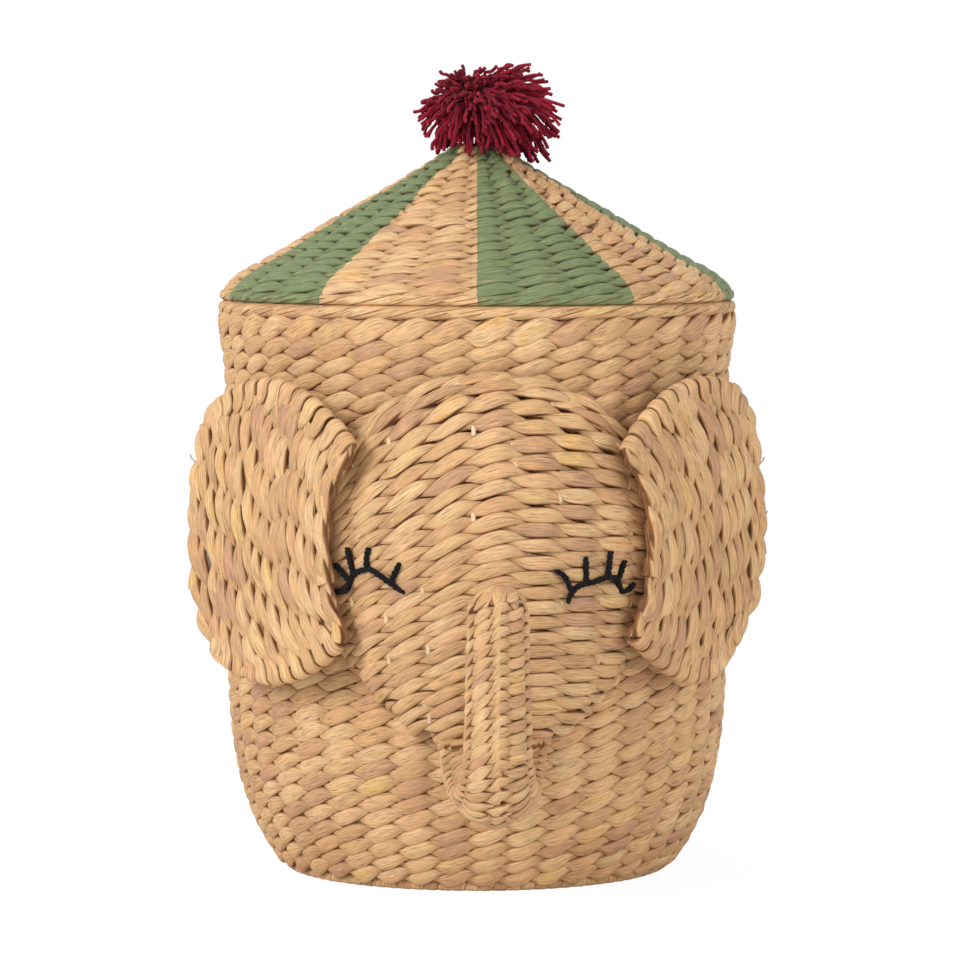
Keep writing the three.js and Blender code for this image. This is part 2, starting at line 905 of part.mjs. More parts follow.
function pompom() {
  const ball = new THREE.SphereGeometry(1, pompomFacets, pompomFacets / 2);
  ball.rotateX(Math.PI / 2);
  ball.scale(pompomHalfWidth, pompomHalfWidth, pompomHalfHeight);
  ball.translate(pompomLean, 0, apexHeight + pompomLift);
  const boreRadius = tieHeadRadius + seatGap;
  const boreTop = apexHeight + tieReach + tieHeadRadius + seatGap;
  const bore = turned(
    [
      [0, apexHeight - cutOverrun],
      [boreRadius, apexHeight - cutOverrun],
      [boreRadius, boreTop],
      [0, boreTop],
    ],
    roundFacets,
  );
  const cone = lidOutline
    .filter(([, height]) => height > lidFoot + lidRise * pompomSeatShare)
    .map(([radius, height]) => [radius, height + seatGap]);
  const lidTop = turned([
    [0, lidFoot],
    [cone[0][0], lidFoot],
    ...cone,
    [0, apexHeight + seatGap],
  ]);
  return cut(solidOf(ball), [lidTop, bore]);
}

add("basket_frame", geometryOf(basketFrame()), "wire");
add("wall_weave", geometryOf(wallWeave()), "strand");
add("base_weave", geometryOf(baseWeave()), "strand");
add("base_binding", geometryOf(baseBinding()), "strand");
add("rim_binding", geometryOf(rimBinding()), "strand");
add("face_weave", geometryOf(faceWeave()), "strand");
add("trunk_weave", geometryOf(trunkWeave()), "strand");
add("trunk_wire", geometryOf(trunkWire(0)), "wire");
add("left_eye_yarn", geometryOf(eyeStitches(leftEyePlace, leftEyeStitchShares)), "blackYarn");
add("right_eye_yarn", geometryOf(eyeStitches(rightEyePlace, rightEyeStitchShares)), "blackYarn");
addEar(-1, "left_ear");
addEar(1, "right_ear");
add("lid_frame", geometryOf(lidFrame()), "wire");
add("lid_weave", geometryOf(lidWeave()), "paintedStrand");
add("lid_edge_binding", geometryOf(lidBinding()), "paintedStrand");
add("lid_locating_ring", geometryOf(locatingRing()), "strand");
add("pompom_tie", geometryOf(tie()), "redYarn");
add("pompom", geometryOf(pompom()), "redYarn");

export default model;
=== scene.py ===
# Looks of a round basket woven in water hyacinth, with an elephant's face and a striped lid.
# Blender works in metres. Sizes here are millimetres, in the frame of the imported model:
# X runs to the viewer's right, the face looks along -Y and Z is up from the floor.

import math
from functools import partial

import bpy
import numpy as np
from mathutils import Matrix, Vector


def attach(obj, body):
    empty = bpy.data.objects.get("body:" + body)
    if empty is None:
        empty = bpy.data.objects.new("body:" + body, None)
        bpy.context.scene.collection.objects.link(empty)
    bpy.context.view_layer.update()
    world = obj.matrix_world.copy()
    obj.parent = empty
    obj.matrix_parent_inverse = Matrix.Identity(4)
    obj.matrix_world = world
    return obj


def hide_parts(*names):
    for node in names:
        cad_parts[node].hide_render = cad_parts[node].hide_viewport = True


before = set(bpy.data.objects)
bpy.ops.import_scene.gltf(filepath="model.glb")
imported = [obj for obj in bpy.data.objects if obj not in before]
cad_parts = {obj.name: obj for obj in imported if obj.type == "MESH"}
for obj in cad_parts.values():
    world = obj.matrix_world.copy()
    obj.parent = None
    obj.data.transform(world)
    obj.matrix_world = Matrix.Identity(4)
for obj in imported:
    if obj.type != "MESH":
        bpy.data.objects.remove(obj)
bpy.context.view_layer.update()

MM = 0.001
STEPS = 6  # points of a guide line from one stake to the next

# The wall, as radius and height of its outside
WALL_OUTLINE = [
    (143.5, 3.6), (155.6, 22.1), (164.1, 39.3), (172.3, 65.0), (178.1, 100.2), (180.3, 135.0),
    (182.1, 361.1), (187.5, 395.9), (186.6, 399.0),
]
WALL_THICKNESS = 12
WALL_STAKES = 40
WALL_COURSES = 33
TOP_COURSE = 1.3  # the first course under the rim is plumper than the others
RIM_RING = (179.4, 403.9)  # radius and height
RIM_SECTION = (5.8, 4.5)  # half width and half height of the wound strand
BASE_RING = (133.7, 4.1)
BASE_SECTION = (5.2, 4.1)
BASE_MAT_RADIUS = 128
WRAP_WIDTH = 9.5  # of the strand wound round a ring
WRAP_INSET = 1.1  # of a wrap's middle line from the outside of a binding
FLOOR_STAKES = [32, 30, 28, 24, 22, 18, 16, 12, 10, 6, 4]  # of each course, from the edge in
FLOOR_LEVEL, FLOOR_THICKNESS = 8.0, 8

# The face panel
FACE_TOP, FACE_WIDEST, FACE_BOTTOM = 363, 240, 112
FACE_HALF_WIDTH, CHIN_HALF_WIDTH = 124, 38
FACE_EDGE, FACE_CROWN = 10, 46
FACE_STAKE_GAP = 26
FACE_COURSE = 12.3  # the width of a course at the full breadth of its strands
FACE_PITCHES = (12.2, 9.6)  # from course to course, at the top and lower down
FACE_SLOPES = (0.55, 0.34)  # how steeply courses fall from the ridge, at the top and lower down
SHORTEST_COURSE = 22
FACE_DEPTH = 5.5  # of a course's middle line under the panel's surface
FACE_STAKES_SEEN = 0.2  # the share of stakes that show between two courses
FOLD_REACH = 9.0 * 0.62  # of a course past the panel's edge, where it turns in

# The trunk
TRUNK_ROOT = (204.96, 111.6)  # reach from the basket's axis, and height
TRUNK_BEND = 31
TRUNK_BEND_SHARE = 0.6  # of the way from the root to the straight part's end
TRUNK_TIP_START = (271, 208)
TRUNK_TIP_LENGTH = 20
TRUNK_STATIONS = [0, 0.3, 0.6, 1]
TRUNK_HALF_WIDTHS = [38, 31, 23.5, 21]
TRUNK_HALF_DEPTHS = [22, 24, 22, 19]
TRUNK_ROUNDNESS = 1.5
TRUNK_STAKES = 8
TRUNK_COURSE, TRUNK_BEND_COURSE = 8.4, 0.72  # width, and its share round the bend
TRUNK_DEPTH = 4.6  # of a course's middle line under the trunk's surface

# The ears, left and right: degrees from the front, reach from the basket's axis, and the outline
# outwards and upwards from the ear's middle
EAR_ANGLE = {-1: 48.8, 1: 47.2}
EAR_REACH = {-1: 201.6, 1: 203.3}
EAR_MIDDLE, EAR_HEIGHT, EAR_THICKNESS = 250, 213, 13
EAR_OUTLINE = {
    -1: [
        (-86.2, 64.5), (-59.7, 86.4), (-29.4, 101.8), (4.5, 105.8), (37.5, 97.9), (65.4, 77.9),
        (76.0, 44.1), (79.5, 7.1), (79.5, -27.0), (72.5, -61.4), (51.5, -90.2), (16.9, -102.0),
        (-17.2, -101.3), (-49.4, -89.7), (-77.9, -68.7), (-65.9, -42.1), (-60.8, -14.3), (-61.4, 13.9),
        (-70.0, 41.0),
    ],
    1: [
        (-86.8, 60.7), (-63.0, 84.9), (-33.6, 101.2), (-0.4, 106.7), (32.5, 101.6), (56.5, 78.5),
        (65.1, 46.2), (69.2, 12.4), (68.1, -21.1), (59.7, -53.1), (38.1, -79.9), (11.6, -100.7),
        (-22.4, -100.8), (-52.4, -86.2), (-78.5, -66.0), (-64.1, -42.0), (-59.7, -14.4), (-59.9, 13.5),
        (-69.6, 39.4),
    ],
}
EAR_TIE_SHARES = (-0.22, 0.22)
EAR_COLUMNS, EAR_COURSE = 15, 11.1  # courses, and their width at the full breadth of the strands
EAR_STITCH = (30, 31)  # the least and the greatest length of a stitch
EAR_FOLD_WIDTH = 12.8
EAR_EDGE_INSET = 4.2  # of the strands down an ear's edges

# The eyes, stitched in black yarn: places on the face, then shares of an eye's width
EYE_WIDTH = 42
EYES = {
    "left_eye": (
        (-74, 222),
        [
            [
                (-0.74, -0.22), (-0.43, -0.19), (-0.28, 0.08), (-0.08, 0.18),
                (0.06, 0.17), (0.27, 0.03), (0.55, -0.17),
            ],
            [(-0.34, -0.05), (-0.64, 0.24)],
            [(-0.28, 0.1), (-0.4, 0.52)],
            [(-0.02, 0.18), (-0.05, 0.34), (-0.01, 0.54)],
            [(0.34, -0.03), (0.48, 0.32)],
        ],
    ),
    "right_eye": (
        (62, 218),
        [
            [
                (-0.47, -0.25), (-0.43, -0.1), (-0.3, 0.04), (-0.08, 0.08),
                (0.18, 0.15), (0.33, 0.1), (0.45, -0.14),
            ],
            [(-0.42, -0.05), (-0.52, 0.19), (-0.65, 0.3)],
            [(-0.19, 0.06), (-0.2, 0.5)],
            [(0.17, 0.14), (0.23, 0.57)],
            [(0.36, 0.09), (0.49, 0.4)],
            [(0.43, -0.1), (0.56, -0.09), (0.7, 0.01)],
        ],
    ),
}

# The lid, as radius and height of its outside
LID_OUTLINE = [
    (183.5, 416.4), (177.6, 424.1), (167.1, 431.4), (152.6, 438.6), (103.9, 467.7), (53.5, 496.7),
    (21.5, 517.0), (15.5, 521.8),
]
LID_THICKNESS = 11
LID_STAKES = [30] * 8 + [24] * 4 + [20] * 3 + [14] * 2 + [10]  # of each course, from the edge up
LID_RING = (178.0, 412.4)
LID_SECTION = (6.0, 3.6)
SEAT_RING = (166.5, 408.0)
SEAT_SECTION = (4.5, 10.4)
STRIPE_START, STRIPE_WIDTH = -3, 36  # degrees from the front

# The pom-pom and its tie
POMPOM_MIDDLE = (11, 0, 538)
POMPOM_HALF = (52, 51, 41)
POMPOM_TIE = (-5, -8, 552)
POMPOM_STRANDS = 620
APEX, TIE_KNOT = 521.8, 504  # heights of the lid's top and of the knot under it

# The camera, in metres and degrees, then its focal length and aim in pixels of the photo
CAMERA_DISTANCE, CAMERA_HEIGHT, CAMERA_TURN, CAMERA_TILT = 3.41, 0.497, 3.0, 3.67
FOCAL_LENGTH, AIM_OFFSET, PHOTO_WIDTH = 4735, 3, 960


# Curves and surfaces


def spread(low, high, share):
    """The value at a share of the way from low to high."""
    return low + (high - low) * share


def polar(radius, angle, height):
    """Points at a radius from the axis, an angle from the front and a height."""
    radius, angle, height = np.broadcast_arrays(radius, angle, height)
    return np.stack([radius * np.sin(angle), -radius * np.cos(angle), height], axis=-1).astype(float)


def unit(vectors):
    """The vectors at a length of 1."""
    return vectors / np.maximum(np.linalg.norm(vectors, axis=-1, keepdims=True), 1e-9)


def smooth_line(corners, ease):
    """Points a millimetre apart along the corners, which are eased over that distance."""
    corners = np.array(corners, float)
    place = np.concatenate([[0], np.cumsum(np.hypot(*np.diff(corners, axis=0).T))])
    at = np.linspace(0, place[-1], int(place[-1]) + 1)
    line = np.stack([np.interp(at, place, corners[:, k]) for k in range(corners.shape[1])], axis=1)
    before = 2 * line[0] - line[ease:0:-1]
    after = 2 * line[-1] - line[-2 : -ease - 2 : -1]
    long = np.concatenate([before, line, after])
    weights = np.hanning(2 * ease + 3)[1:-1]
    weights /= weights.sum()
    return np.stack([np.convolve(column, weights, "valid") for column in long.T], axis=1)


def through(points, steps, looped=False):
    """A smooth curve through the points, with so many steps between two of them."""
    points = np.array(points, float)
    count = len(points)
    spans = count if looped else count - 1
    curve = []
    for k in range(spans):
        picks = [k - 1, k, k + 1, k + 2]
        a, b, c, d = (points[i % count] if looped else points[min(max(i, 0), count - 1)] for i in picks)
        for t in np.linspace(0, 1, steps, endpoint=False):
            bend, twist = 2 * a - 5 * b + 4 * c - d, 3 * b - a - 3 * c + d
            curve.append(0.5 * (2 * b + (c - a) * t + bend * t**2 + twist * t**3))
    if not looped:
        curve.append(points[-1])
    return np.array(curve)


def evenly(points, step):
    """The same line with points that far apart."""
    place = np.concatenate([[0], np.cumsum(np.linalg.norm(np.diff(points, axis=0), axis=1))])
    at = np.linspace(0, place[-1], max(2, round(place[-1] / step) + 1))
    return np.stack([np.interp(at, place, points[:, k]) for k in range(points.shape[1])], axis=1)


WALL_LINE = smooth_line(WALL_OUTLINE, 14)
LID_LINE = smooth_line(LID_OUTLINE, 6)


def wall_radius(height):
    """The radius of the wall's outside at a height."""
    return np.interp(height, WALL_LINE[:, 1], WALL_LINE[:, 0])


def on_turned(line, at, angle, depth):
    """Points at a distance along a turned outline and a depth inside it, with their outward vectors."""
    places = np.arange(len(line))
    slope = unit(np.gradient(line, axis=0))
    radius, height, across, up = (
        np.interp(at, places, column) for column in (line[:, 0], line[:, 1], slope[:, 0], slope[:, 1])
    )
    points = polar(radius - depth * up, angle, height + depth * across)
    return points, polar(up, angle, -across)


# Guide lines. Each has its points, the vectors out of the surface, the count of stakes passed, the
# strand's shares of the usual breadth and thickness, whether it twists, and which of two it is.


def guide(points, out, turn, size, strand, twist, thick):
    count = len(points)
    return {
        "points": np.array(points, float),
        "out": np.array(np.broadcast_to(out, (count, 3)), float),
        "turn": np.broadcast_to(np.array(turn, float), (count,)),
        "size": np.broadcast_to(np.array(size, float), (count,)),
        "thick": np.broadcast_to(np.array(thick, float), (count,)),
        "strand": np.full(count, float(strand)),
        "twist": np.full(count, float(twist)),
    }


def twined(points, out, turn, size=1.0, thick=1.0):
    """Two strands that twist about one line, and change sides between stakes."""
    return [guide(points, out, turn, size, strand, 1.0, thick) for strand in (0, 1)]


def laid(points, out, size=1.0, turn=0.0, thick=1.0):
    """One strand that lies along a line."""
    return [guide(points, out, turn, size, 0, 0.0, thick)]


def guide_mesh(name, guides):
    """The guide lines as a mesh of edges, with their values on its points."""
    points = np.concatenate([g["points"] for g in guides]) * MM
    edges, start = [], 0
    for g in guides:
        count = len(g["points"])
        edges.append(np.stack([np.arange(count - 1), np.arange(1, count)], axis=1) + start)
        start += count
        along = unit(np.gradient(g["points"], axis=0))
        g["side"] = unit(np.cross(g["out"], along))
        g["out"] = np.cross(along, g["side"])
    edges = np.concatenate(edges)
    mesh = bpy.data.meshes.new(name)
    mesh.vertices.add(len(points))
    mesh.vertices.foreach_set("co", points.astype(np.float32).ravel())
    mesh.edges.add(len(edges))
    mesh.edges.foreach_set("vertices", edges.astype(np.int32).ravel())
    for key in ("out", "side"):
        values = np.concatenate([g[key] for g in guides]).astype(np.float32)
        mesh.attributes.new(key, "FLOAT_VECTOR", "POINT").data.foreach_set("vector", values.ravel())
    for key in ("turn", "size", "strand", "twist", "thick"):
        values = np.concatenate([g[key] for g in guides]).astype(np.float32)
        mesh.attributes.new(key, "FLOAT", "POINT").data.foreach_set("value", values)
    numbers = np.concatenate([np.full(len(g["points"]), k // 2, np.float32) for k, g in enumerate(guides)])
    mesh.attributes.new("number", "FLOAT", "POINT").data.foreach_set("value", numbers)
    mesh.update()
    return mesh


# Trees and materials


def add_node(tree, kind, inputs=None, **settings):
    """Adds a node with its settings, and sets or links its inputs by name or number. A node given
    as an input is linked from its first output."""
    node = tree.nodes.new(kind)
    for name, value in settings.items():
        setattr(node, name, value)
    for key, value in (inputs or {}).items():
        if isinstance(value, bpy.types.Node):
            value = value.outputs[0]
        if isinstance(value, bpy.types.NodeSocket):
            tree.links.new(value, node.inputs[key])
        else:
            node.inputs[key].default_value = value
    return node


def linear(code):
    """A colour written as sRGB hex, in the linear values that Blender works in."""
    values = [int(code[k : k + 2], 16) / 255 for k in (0, 2, 4)]
    return [v / 12.92 if v <= 0.04045 else ((v + 0.055) / 1.055) ** 2.4 for v in values] + [1.0]


def strand_tree():
    """Strands along guide lines. The two strands of a course twist about its line, so that each
    shows as a plump stitch over every second stake and tucks in behind the other between them."""
    tree = bpy.data.node_groups.new("Woven strands", "GeometryNodeTree")
    sizes = ("Reach", "Rise", "Half Width", "Half Depth", "Pinch", "Looseness", "Crease", "Squareness")
    sockets = [("Guides", "Geometry"), *((name, "Float") for name in sizes)]
    sockets += [("Facets", "Int"), ("Seed", "Int"), ("Material", "Material")]
    for name, kind in sockets:
        tree.interface.new_socket(name, in_out="INPUT", socket_type="NodeSocket" + kind)
    tree.interface.new_socket("Strands", in_out="OUTPUT", socket_type="NodeSocketGeometry")
    add = partial(add_node, tree)
    given = add("NodeGroupInput").outputs
    vectors = ("out", "side", "round", "heart")
    names = vectors + ("turn", "size", "thick", "strand", "twist", "number")
    names += ("breadth", "height", "level", "along", "which")
    read = {}
    for name in names:
        kind = "FLOAT_VECTOR" if name in vectors else "FLOAT"
        read[name] = add("GeometryNodeInputNamedAttribute", {"Name": name}, data_type=kind)

    # Where the strand is in its twist: 1 at the outside of a stitch, -1 behind the other strand.
    turn = add("ShaderNodeMath", {0: read["turn"], 1: read["strand"]}, operation="ADD")
    angle = add("ShaderNodeMath", {0: turn, 1: math.pi}, operation="MULTIPLY")
    wave = add("ShaderNodeMath", {0: angle}, operation="COSINE")
    climb = add("ShaderNodeMath", {0: angle}, operation="SINE")

    # Each stitch has its own tone, breadth and shift, and changes to the next where it is tucked in.
    stitch = add("ShaderNodeMath", {0: turn}, operation="FLOOR")
    share = add("ShaderNodeMath", {0: turn, 1: stitch}, operation="SUBTRACT")
    swap = {"Value": share, "From Min": 0.36, "From Max": 0.64}
    swap = add("ShaderNodeMapRange", swap, interpolation_type="SMOOTHSTEP")
    line = add("ShaderNodeMath", {0: read["number"], 1: 2.0, 2: read["strand"]}, operation="MULTIPLY_ADD")
    serial = add("ShaderNodeMath", {0: line, 1: 4000.0, 2: stitch}, operation="MULTIPLY_ADD")
    following = add("ShaderNodeMath", {0: serial, 1: 1.0}, operation="ADD")
    chance = {}
    for k, name in enumerate(("tone", "breadth", "shift")):
        seed = add("ShaderNodeMath", {0: given["Seed"], 1: float(k)}, operation="ADD")
        here, after = (
            add("FunctionNodeRandomValue", {"ID": number, "Seed": seed}).outputs[1]
            for number in (serial, following)
        )
        chance[name] = add("ShaderNodeMix", {0: swap, 2: here, 3: after})

    # The strand's middle, out of the surface by the twist and up and down across the course.
    out_by = add("ShaderNodeMath", {0: wave, 1: given["Reach"]}, operation="MULTIPLY")
    out_by = add("ShaderNodeMath", {0: out_by, 1: read["twist"]}, operation="MULTIPLY")
    side_by = add("ShaderNodeMath", {0: climb, 1: given["Rise"]}, operation="MULTIPLY")
    side_by = add("ShaderNodeMath", {0: side_by, 1: read["twist"]}, operation="MULTIPLY")
    play = add("ShaderNodeMath", {0: given["Looseness"], 1: given["Half Width"]}, operation="MULTIPLY")
    shift = add("ShaderNodeMath", {0: chance["shift"], 1: 0.5}, operation="SUBTRACT")
    shift = add("ShaderNodeMath", {0: shift, 1: play}, operation="MULTIPLY")
    side_by = add("ShaderNodeMath", {0: side_by, 1: shift}, operation="ADD")
    side_by = add("ShaderNodeMath", {0: side_by, 1: read["size"]}, operation="MULTIPLY")
    outwards = add("ShaderNodeVectorMath", {0: read["out"], "Scale": out_by}, operation="SCALE")
    sideways = add("ShaderNodeVectorMath", {0: read["side"], "Scale": side_by}, operation="SCALE")
    offset = add("ShaderNodeVectorMath", {0: outwards, 1: sideways}, operation="ADD")

    # Its breadth: a leaf in front with narrow tips that tuck under, and a shorter leaf at the back.
    front = add("ShaderNodeMath", {0: wave, 1: 0.0}, operation="MAXIMUM")
    front = add("ShaderNodeMath", {0: front, 1: 0.6}, operation="POWER")
    back = add("ShaderNodeMapRange", {"Value": wave, "From Min": -0.65, "From Max": -1.0})
    open_share = add("ShaderNodeMath", {0: front, 1: back}, operation="ADD")
    slim = add("ShaderNodeMath", {0: given["Pinch"], 1: 0.6}, operation="MULTIPLY")
    slim = {"Value": wave, "From Min": -0.3, "From Max": -0.8, "To Min": given["Pinch"], "To Max": slim}
    slim = add("ShaderNodeMapRange", slim)
    pinch = add("ShaderNodeMix", {0: open_share, 2: slim, 3: 1.0})
    pinch = add("ShaderNodeMix", {0: read["twist"], 2: 1.0, 3: pinch})
    loose = add("ShaderNodeMath", {0: chance["breadth"], 1: 0.5}, operation="SUBTRACT")
    loose = add("ShaderNodeMath", {0: loose, 1: given["Looseness"], 2: 1.0}, operation="MULTIPLY_ADD")
    breadth = add("ShaderNodeMath", {0: pinch, 1: loose}, operation="MULTIPLY")
    breadth = add("ShaderNodeMath", {0: breadth, 1: read["size"]}, operation="MULTIPLY")
    breadth = add("ShaderNodeMath", {0: breadth, 1: given["Half Width"]}, operation="MULTIPLY")
    height = add("ShaderNodeMix", {0: open_share, 2: 0.78, 3: 1.0})
    height = add("ShaderNodeMix", {0: read["twist"], 2: 1.0, 3: height})
    height = add("ShaderNodeMath", {0: height, 1: given["Half Depth"]}, operation="MULTIPLY")
    height = add("ShaderNodeMath", {0: height, 1: read["thick"]}, operation="MULTIPLY")

    curves = add("GeometryNodeMeshToCurve", {"Mesh": given["Guides"]})
    moved = add("GeometryNodeSetPosition", {"Geometry": curves, "Offset": offset})
    length = add("GeometryNodeSplineParameter").outputs["Length"]
    place = add("GeometryNodeInputPosition")
    number = add("FunctionNodeRandomValue", {"ID": line, "Seed": given["Seed"]}).outputs[1]
    kept = {"along": length, "heart": place, "breadth": breadth, "height": height}
    kept |= {"tone": chance["tone"], "level": out_by, "which": number}
    for name, value in kept.items():
        kind = "FLOAT_VECTOR" if name in vectors else "FLOAT"
        store = {"Geometry": moved, "Name": name, "Value": value}
        moved = add("GeometryNodeStoreNamedAttribute", store, data_type=kind)
    ring = add("GeometryNodeCurvePrimitiveCircle", {"Resolution": given["Facets"], "Radius": 1.0})
    store = {"Geometry": ring, "Name": "round", "Value": place}
    ring = add("GeometryNodeStoreNamedAttribute", store, data_type="FLOAT_VECTOR")
    tubes = add("GeometryNodeCurveToMesh", {"Curve": moved, "Profile Curve": ring, "Fill Caps": True})

    # The section is a squarish oval, with shallow creases that run along the strand.
    split = add("ShaderNodeSeparateXYZ", {0: read["round"]}).outputs
    squared = []
    for part in (split[0], split[1]):
        size = add("ShaderNodeMath", {0: part}, operation="ABSOLUTE")
        size = add("ShaderNodeMath", {0: size, 1: given["Squareness"]}, operation="POWER")
        sign = add("ShaderNodeMath", {0: part}, operation="SIGN")
        squared.append(add("ShaderNodeMath", {0: size, 1: sign}, operation="MULTIPLY"))
    run = add("ShaderNodeMath", {0: read["along"], 1: 32.0}, operation="MULTIPLY")
    run = add("ShaderNodeMath", {0: line, 1: 7.3, 2: run}, operation="MULTIPLY_ADD")
    spot = add("ShaderNodeVectorMath", {0: read["round"], "Scale": 1.7}, operation="SCALE")
    run = add("ShaderNodeCombineXYZ", {"Z": run})
    spot = add("ShaderNodeVectorMath", {0: spot, 1: run}, operation="ADD")
    folds = add("ShaderNodeTexNoise", {"Vector": spot, "Scale": 1.0, "Detail": 1.0})
    folds = add("ShaderNodeMath", {0: folds, 1: 0.5}, operation="SUBTRACT")
    folds = add("ShaderNodeMath", {0: folds, 1: given["Crease"], 2: 1.0}, operation="MULTIPLY_ADD")
    across, upwards = (
        add("ShaderNodeMath", {0: part, 1: size}, operation="MULTIPLY")
        for part, size in zip(squared, (read["breadth"], read["height"]))
    )
    upwards = add("ShaderNodeMath", {0: upwards, 1: folds}, operation="MULTIPLY")
    sideways = add("ShaderNodeVectorMath", {0: read["side"], "Scale": across}, operation="SCALE")
    outwards = add("ShaderNodeVectorMath", {0: read["out"], "Scale": upwards}, operation="SCALE")
    point = add("ShaderNodeVectorMath", {0: read["heart"], 1: sideways}, operation="ADD")
    point = add("ShaderNodeVectorMath", {0: point, 1: outwards}, operation="ADD")
    tubes = add("GeometryNodeSetPosition", {"Geometry": tubes, "Position": point})

    # For the material: how far from the middle of the weave, which sets the painted shade in the gaps and
    # where the paint reaches, and a place along and across the fibres.
    level = add("ShaderNodeMath", {0: read["level"], 1: upwards}, operation="ADD")
    whole = {0: given["Reach"], 1: read["twist"], 2: given["Half Depth"]}
    whole = add("ShaderNodeMath", whole, operation="MULTIPLY_ADD")
    level = add("ShaderNodeMath", {0: level, 1: whole}, operation="DIVIDE")
    # The fibres draw together where the strand is narrow, as veins do in a leaf.
    spread_out = add("ShaderNodeMath", {0: squared[0], 1: given["Half Width"]}, operation="MULTIPLY")
    fibre = add("ShaderNodeCombineXYZ", {"X": read["along"], "Y": spread_out})
    fibre = add("ShaderNodeVectorMath", {0: fibre, "Scale": 1 / MM}, operation="SCALE")
    which = add("ShaderNodeMath", {0: read["which"], 1: 400.0}, operation="MULTIPLY")
    which = add("ShaderNodeCombineXYZ", {"Z": which})
    fibre = add("ShaderNodeVectorMath", {0: fibre, 1: which}, operation="ADD")
    # How near a strand's side a point lies, which sets the painted shade line along its sides.
    edge = add("ShaderNodeMath", {0: squared[0]}, operation="ABSOLUTE")
    kept = [("depth", "FLOAT", level), ("edge", "FLOAT", edge), ("fibre", "FLOAT_VECTOR", fibre)]
    for name, kind, value in kept:
        store = {"Geometry": tubes, "Name": name, "Value": value}
        tubes = add("GeometryNodeStoreNamedAttribute", store, data_type=kind)
    for name in names:
        tubes = add("GeometryNodeRemoveAttribute", {"Geometry": tubes, "Name": name})
    tubes = add("GeometryNodeSetShadeSmooth", {"Geometry": tubes})
    tubes = add("GeometryNodeRealizeInstances", {"Geometry": tubes})
    tubes = add("GeometryNodeSetMaterial", {"Geometry": tubes, "Material": given["Material"]})
    add("NodeGroupOutput", {"Strands": tubes})
    return tree


STRANDS = strand_tree()
SOCKETS = {item.name: item.identifier for item in STRANDS.interface.items_tree if item.in_out == "INPUT"}

# Sizes of the strands, as the tree's inputs take them: millimetres first, then shares and counts
ROPE = {"Reach": 2.3, "Rise": 3.3, "Half Width": 6.8, "Half Depth": 3.6}
ROPE |= {"Pinch": 0.46, "Looseness": 0.2, "Crease": 0.5, "Squareness": 0.82, "Facets": 12}
RIBBON = ROPE | {"Half Width": 5.2, "Half Depth": 1.3, "Looseness": 0.12, "Crease": 0.3, "Facets": 8}


def sized(usual, **changes):
    """The sizes of a strand, with some of the usual ones changed."""
    return usual | {key.replace("_", " ").title(): value for key, value in changes.items()}


def piece_of(name, guides, finish, sizes, body, replaced, seed):
    """One plain mesh of strands, of the finish's material, that rides on a body in place of a solid."""
    material, slot = finish
    obj = bpy.data.objects.new(name, guide_mesh(name, guides))
    bpy.context.scene.collection.objects.link(obj)
    modifier = obj.modifiers.new("Strands", "NODES")
    modifier.node_group = STRANDS
    for key, value in sizes.items():
        in_mm = key in ("Reach", "Rise", "Half Width", "Half Depth")
        modifier[SOCKETS[key]] = value * MM if in_mm else value
    modifier[SOCKETS["Seed"]] = seed
    modifier[SOCKETS["Material"]] = material
    bpy.context.view_layer.update()
    evaluated = obj.evaluated_get(bpy.context.evaluated_depsgraph_get())
    mesh = bpy.data.meshes.new_from_object(evaluated)
    mesh.name = name
    obj.modifiers.clear()
    obj.data = mesh
    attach(obj, body)
    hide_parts(replaced)


# Materials


def cleared(owner):
    """Empties the node tree of a material or a world, and returns add_node for that tree."""
    owner.use_nodes = True
    owner.node_tree.nodes.clear()
    return partial(add_node, owner.node_tree)


def plain_material(name):
    """A new material, and add_node for its empty tree."""
    material = bpy.data.materials.new(name)
    return material, cleared(material)


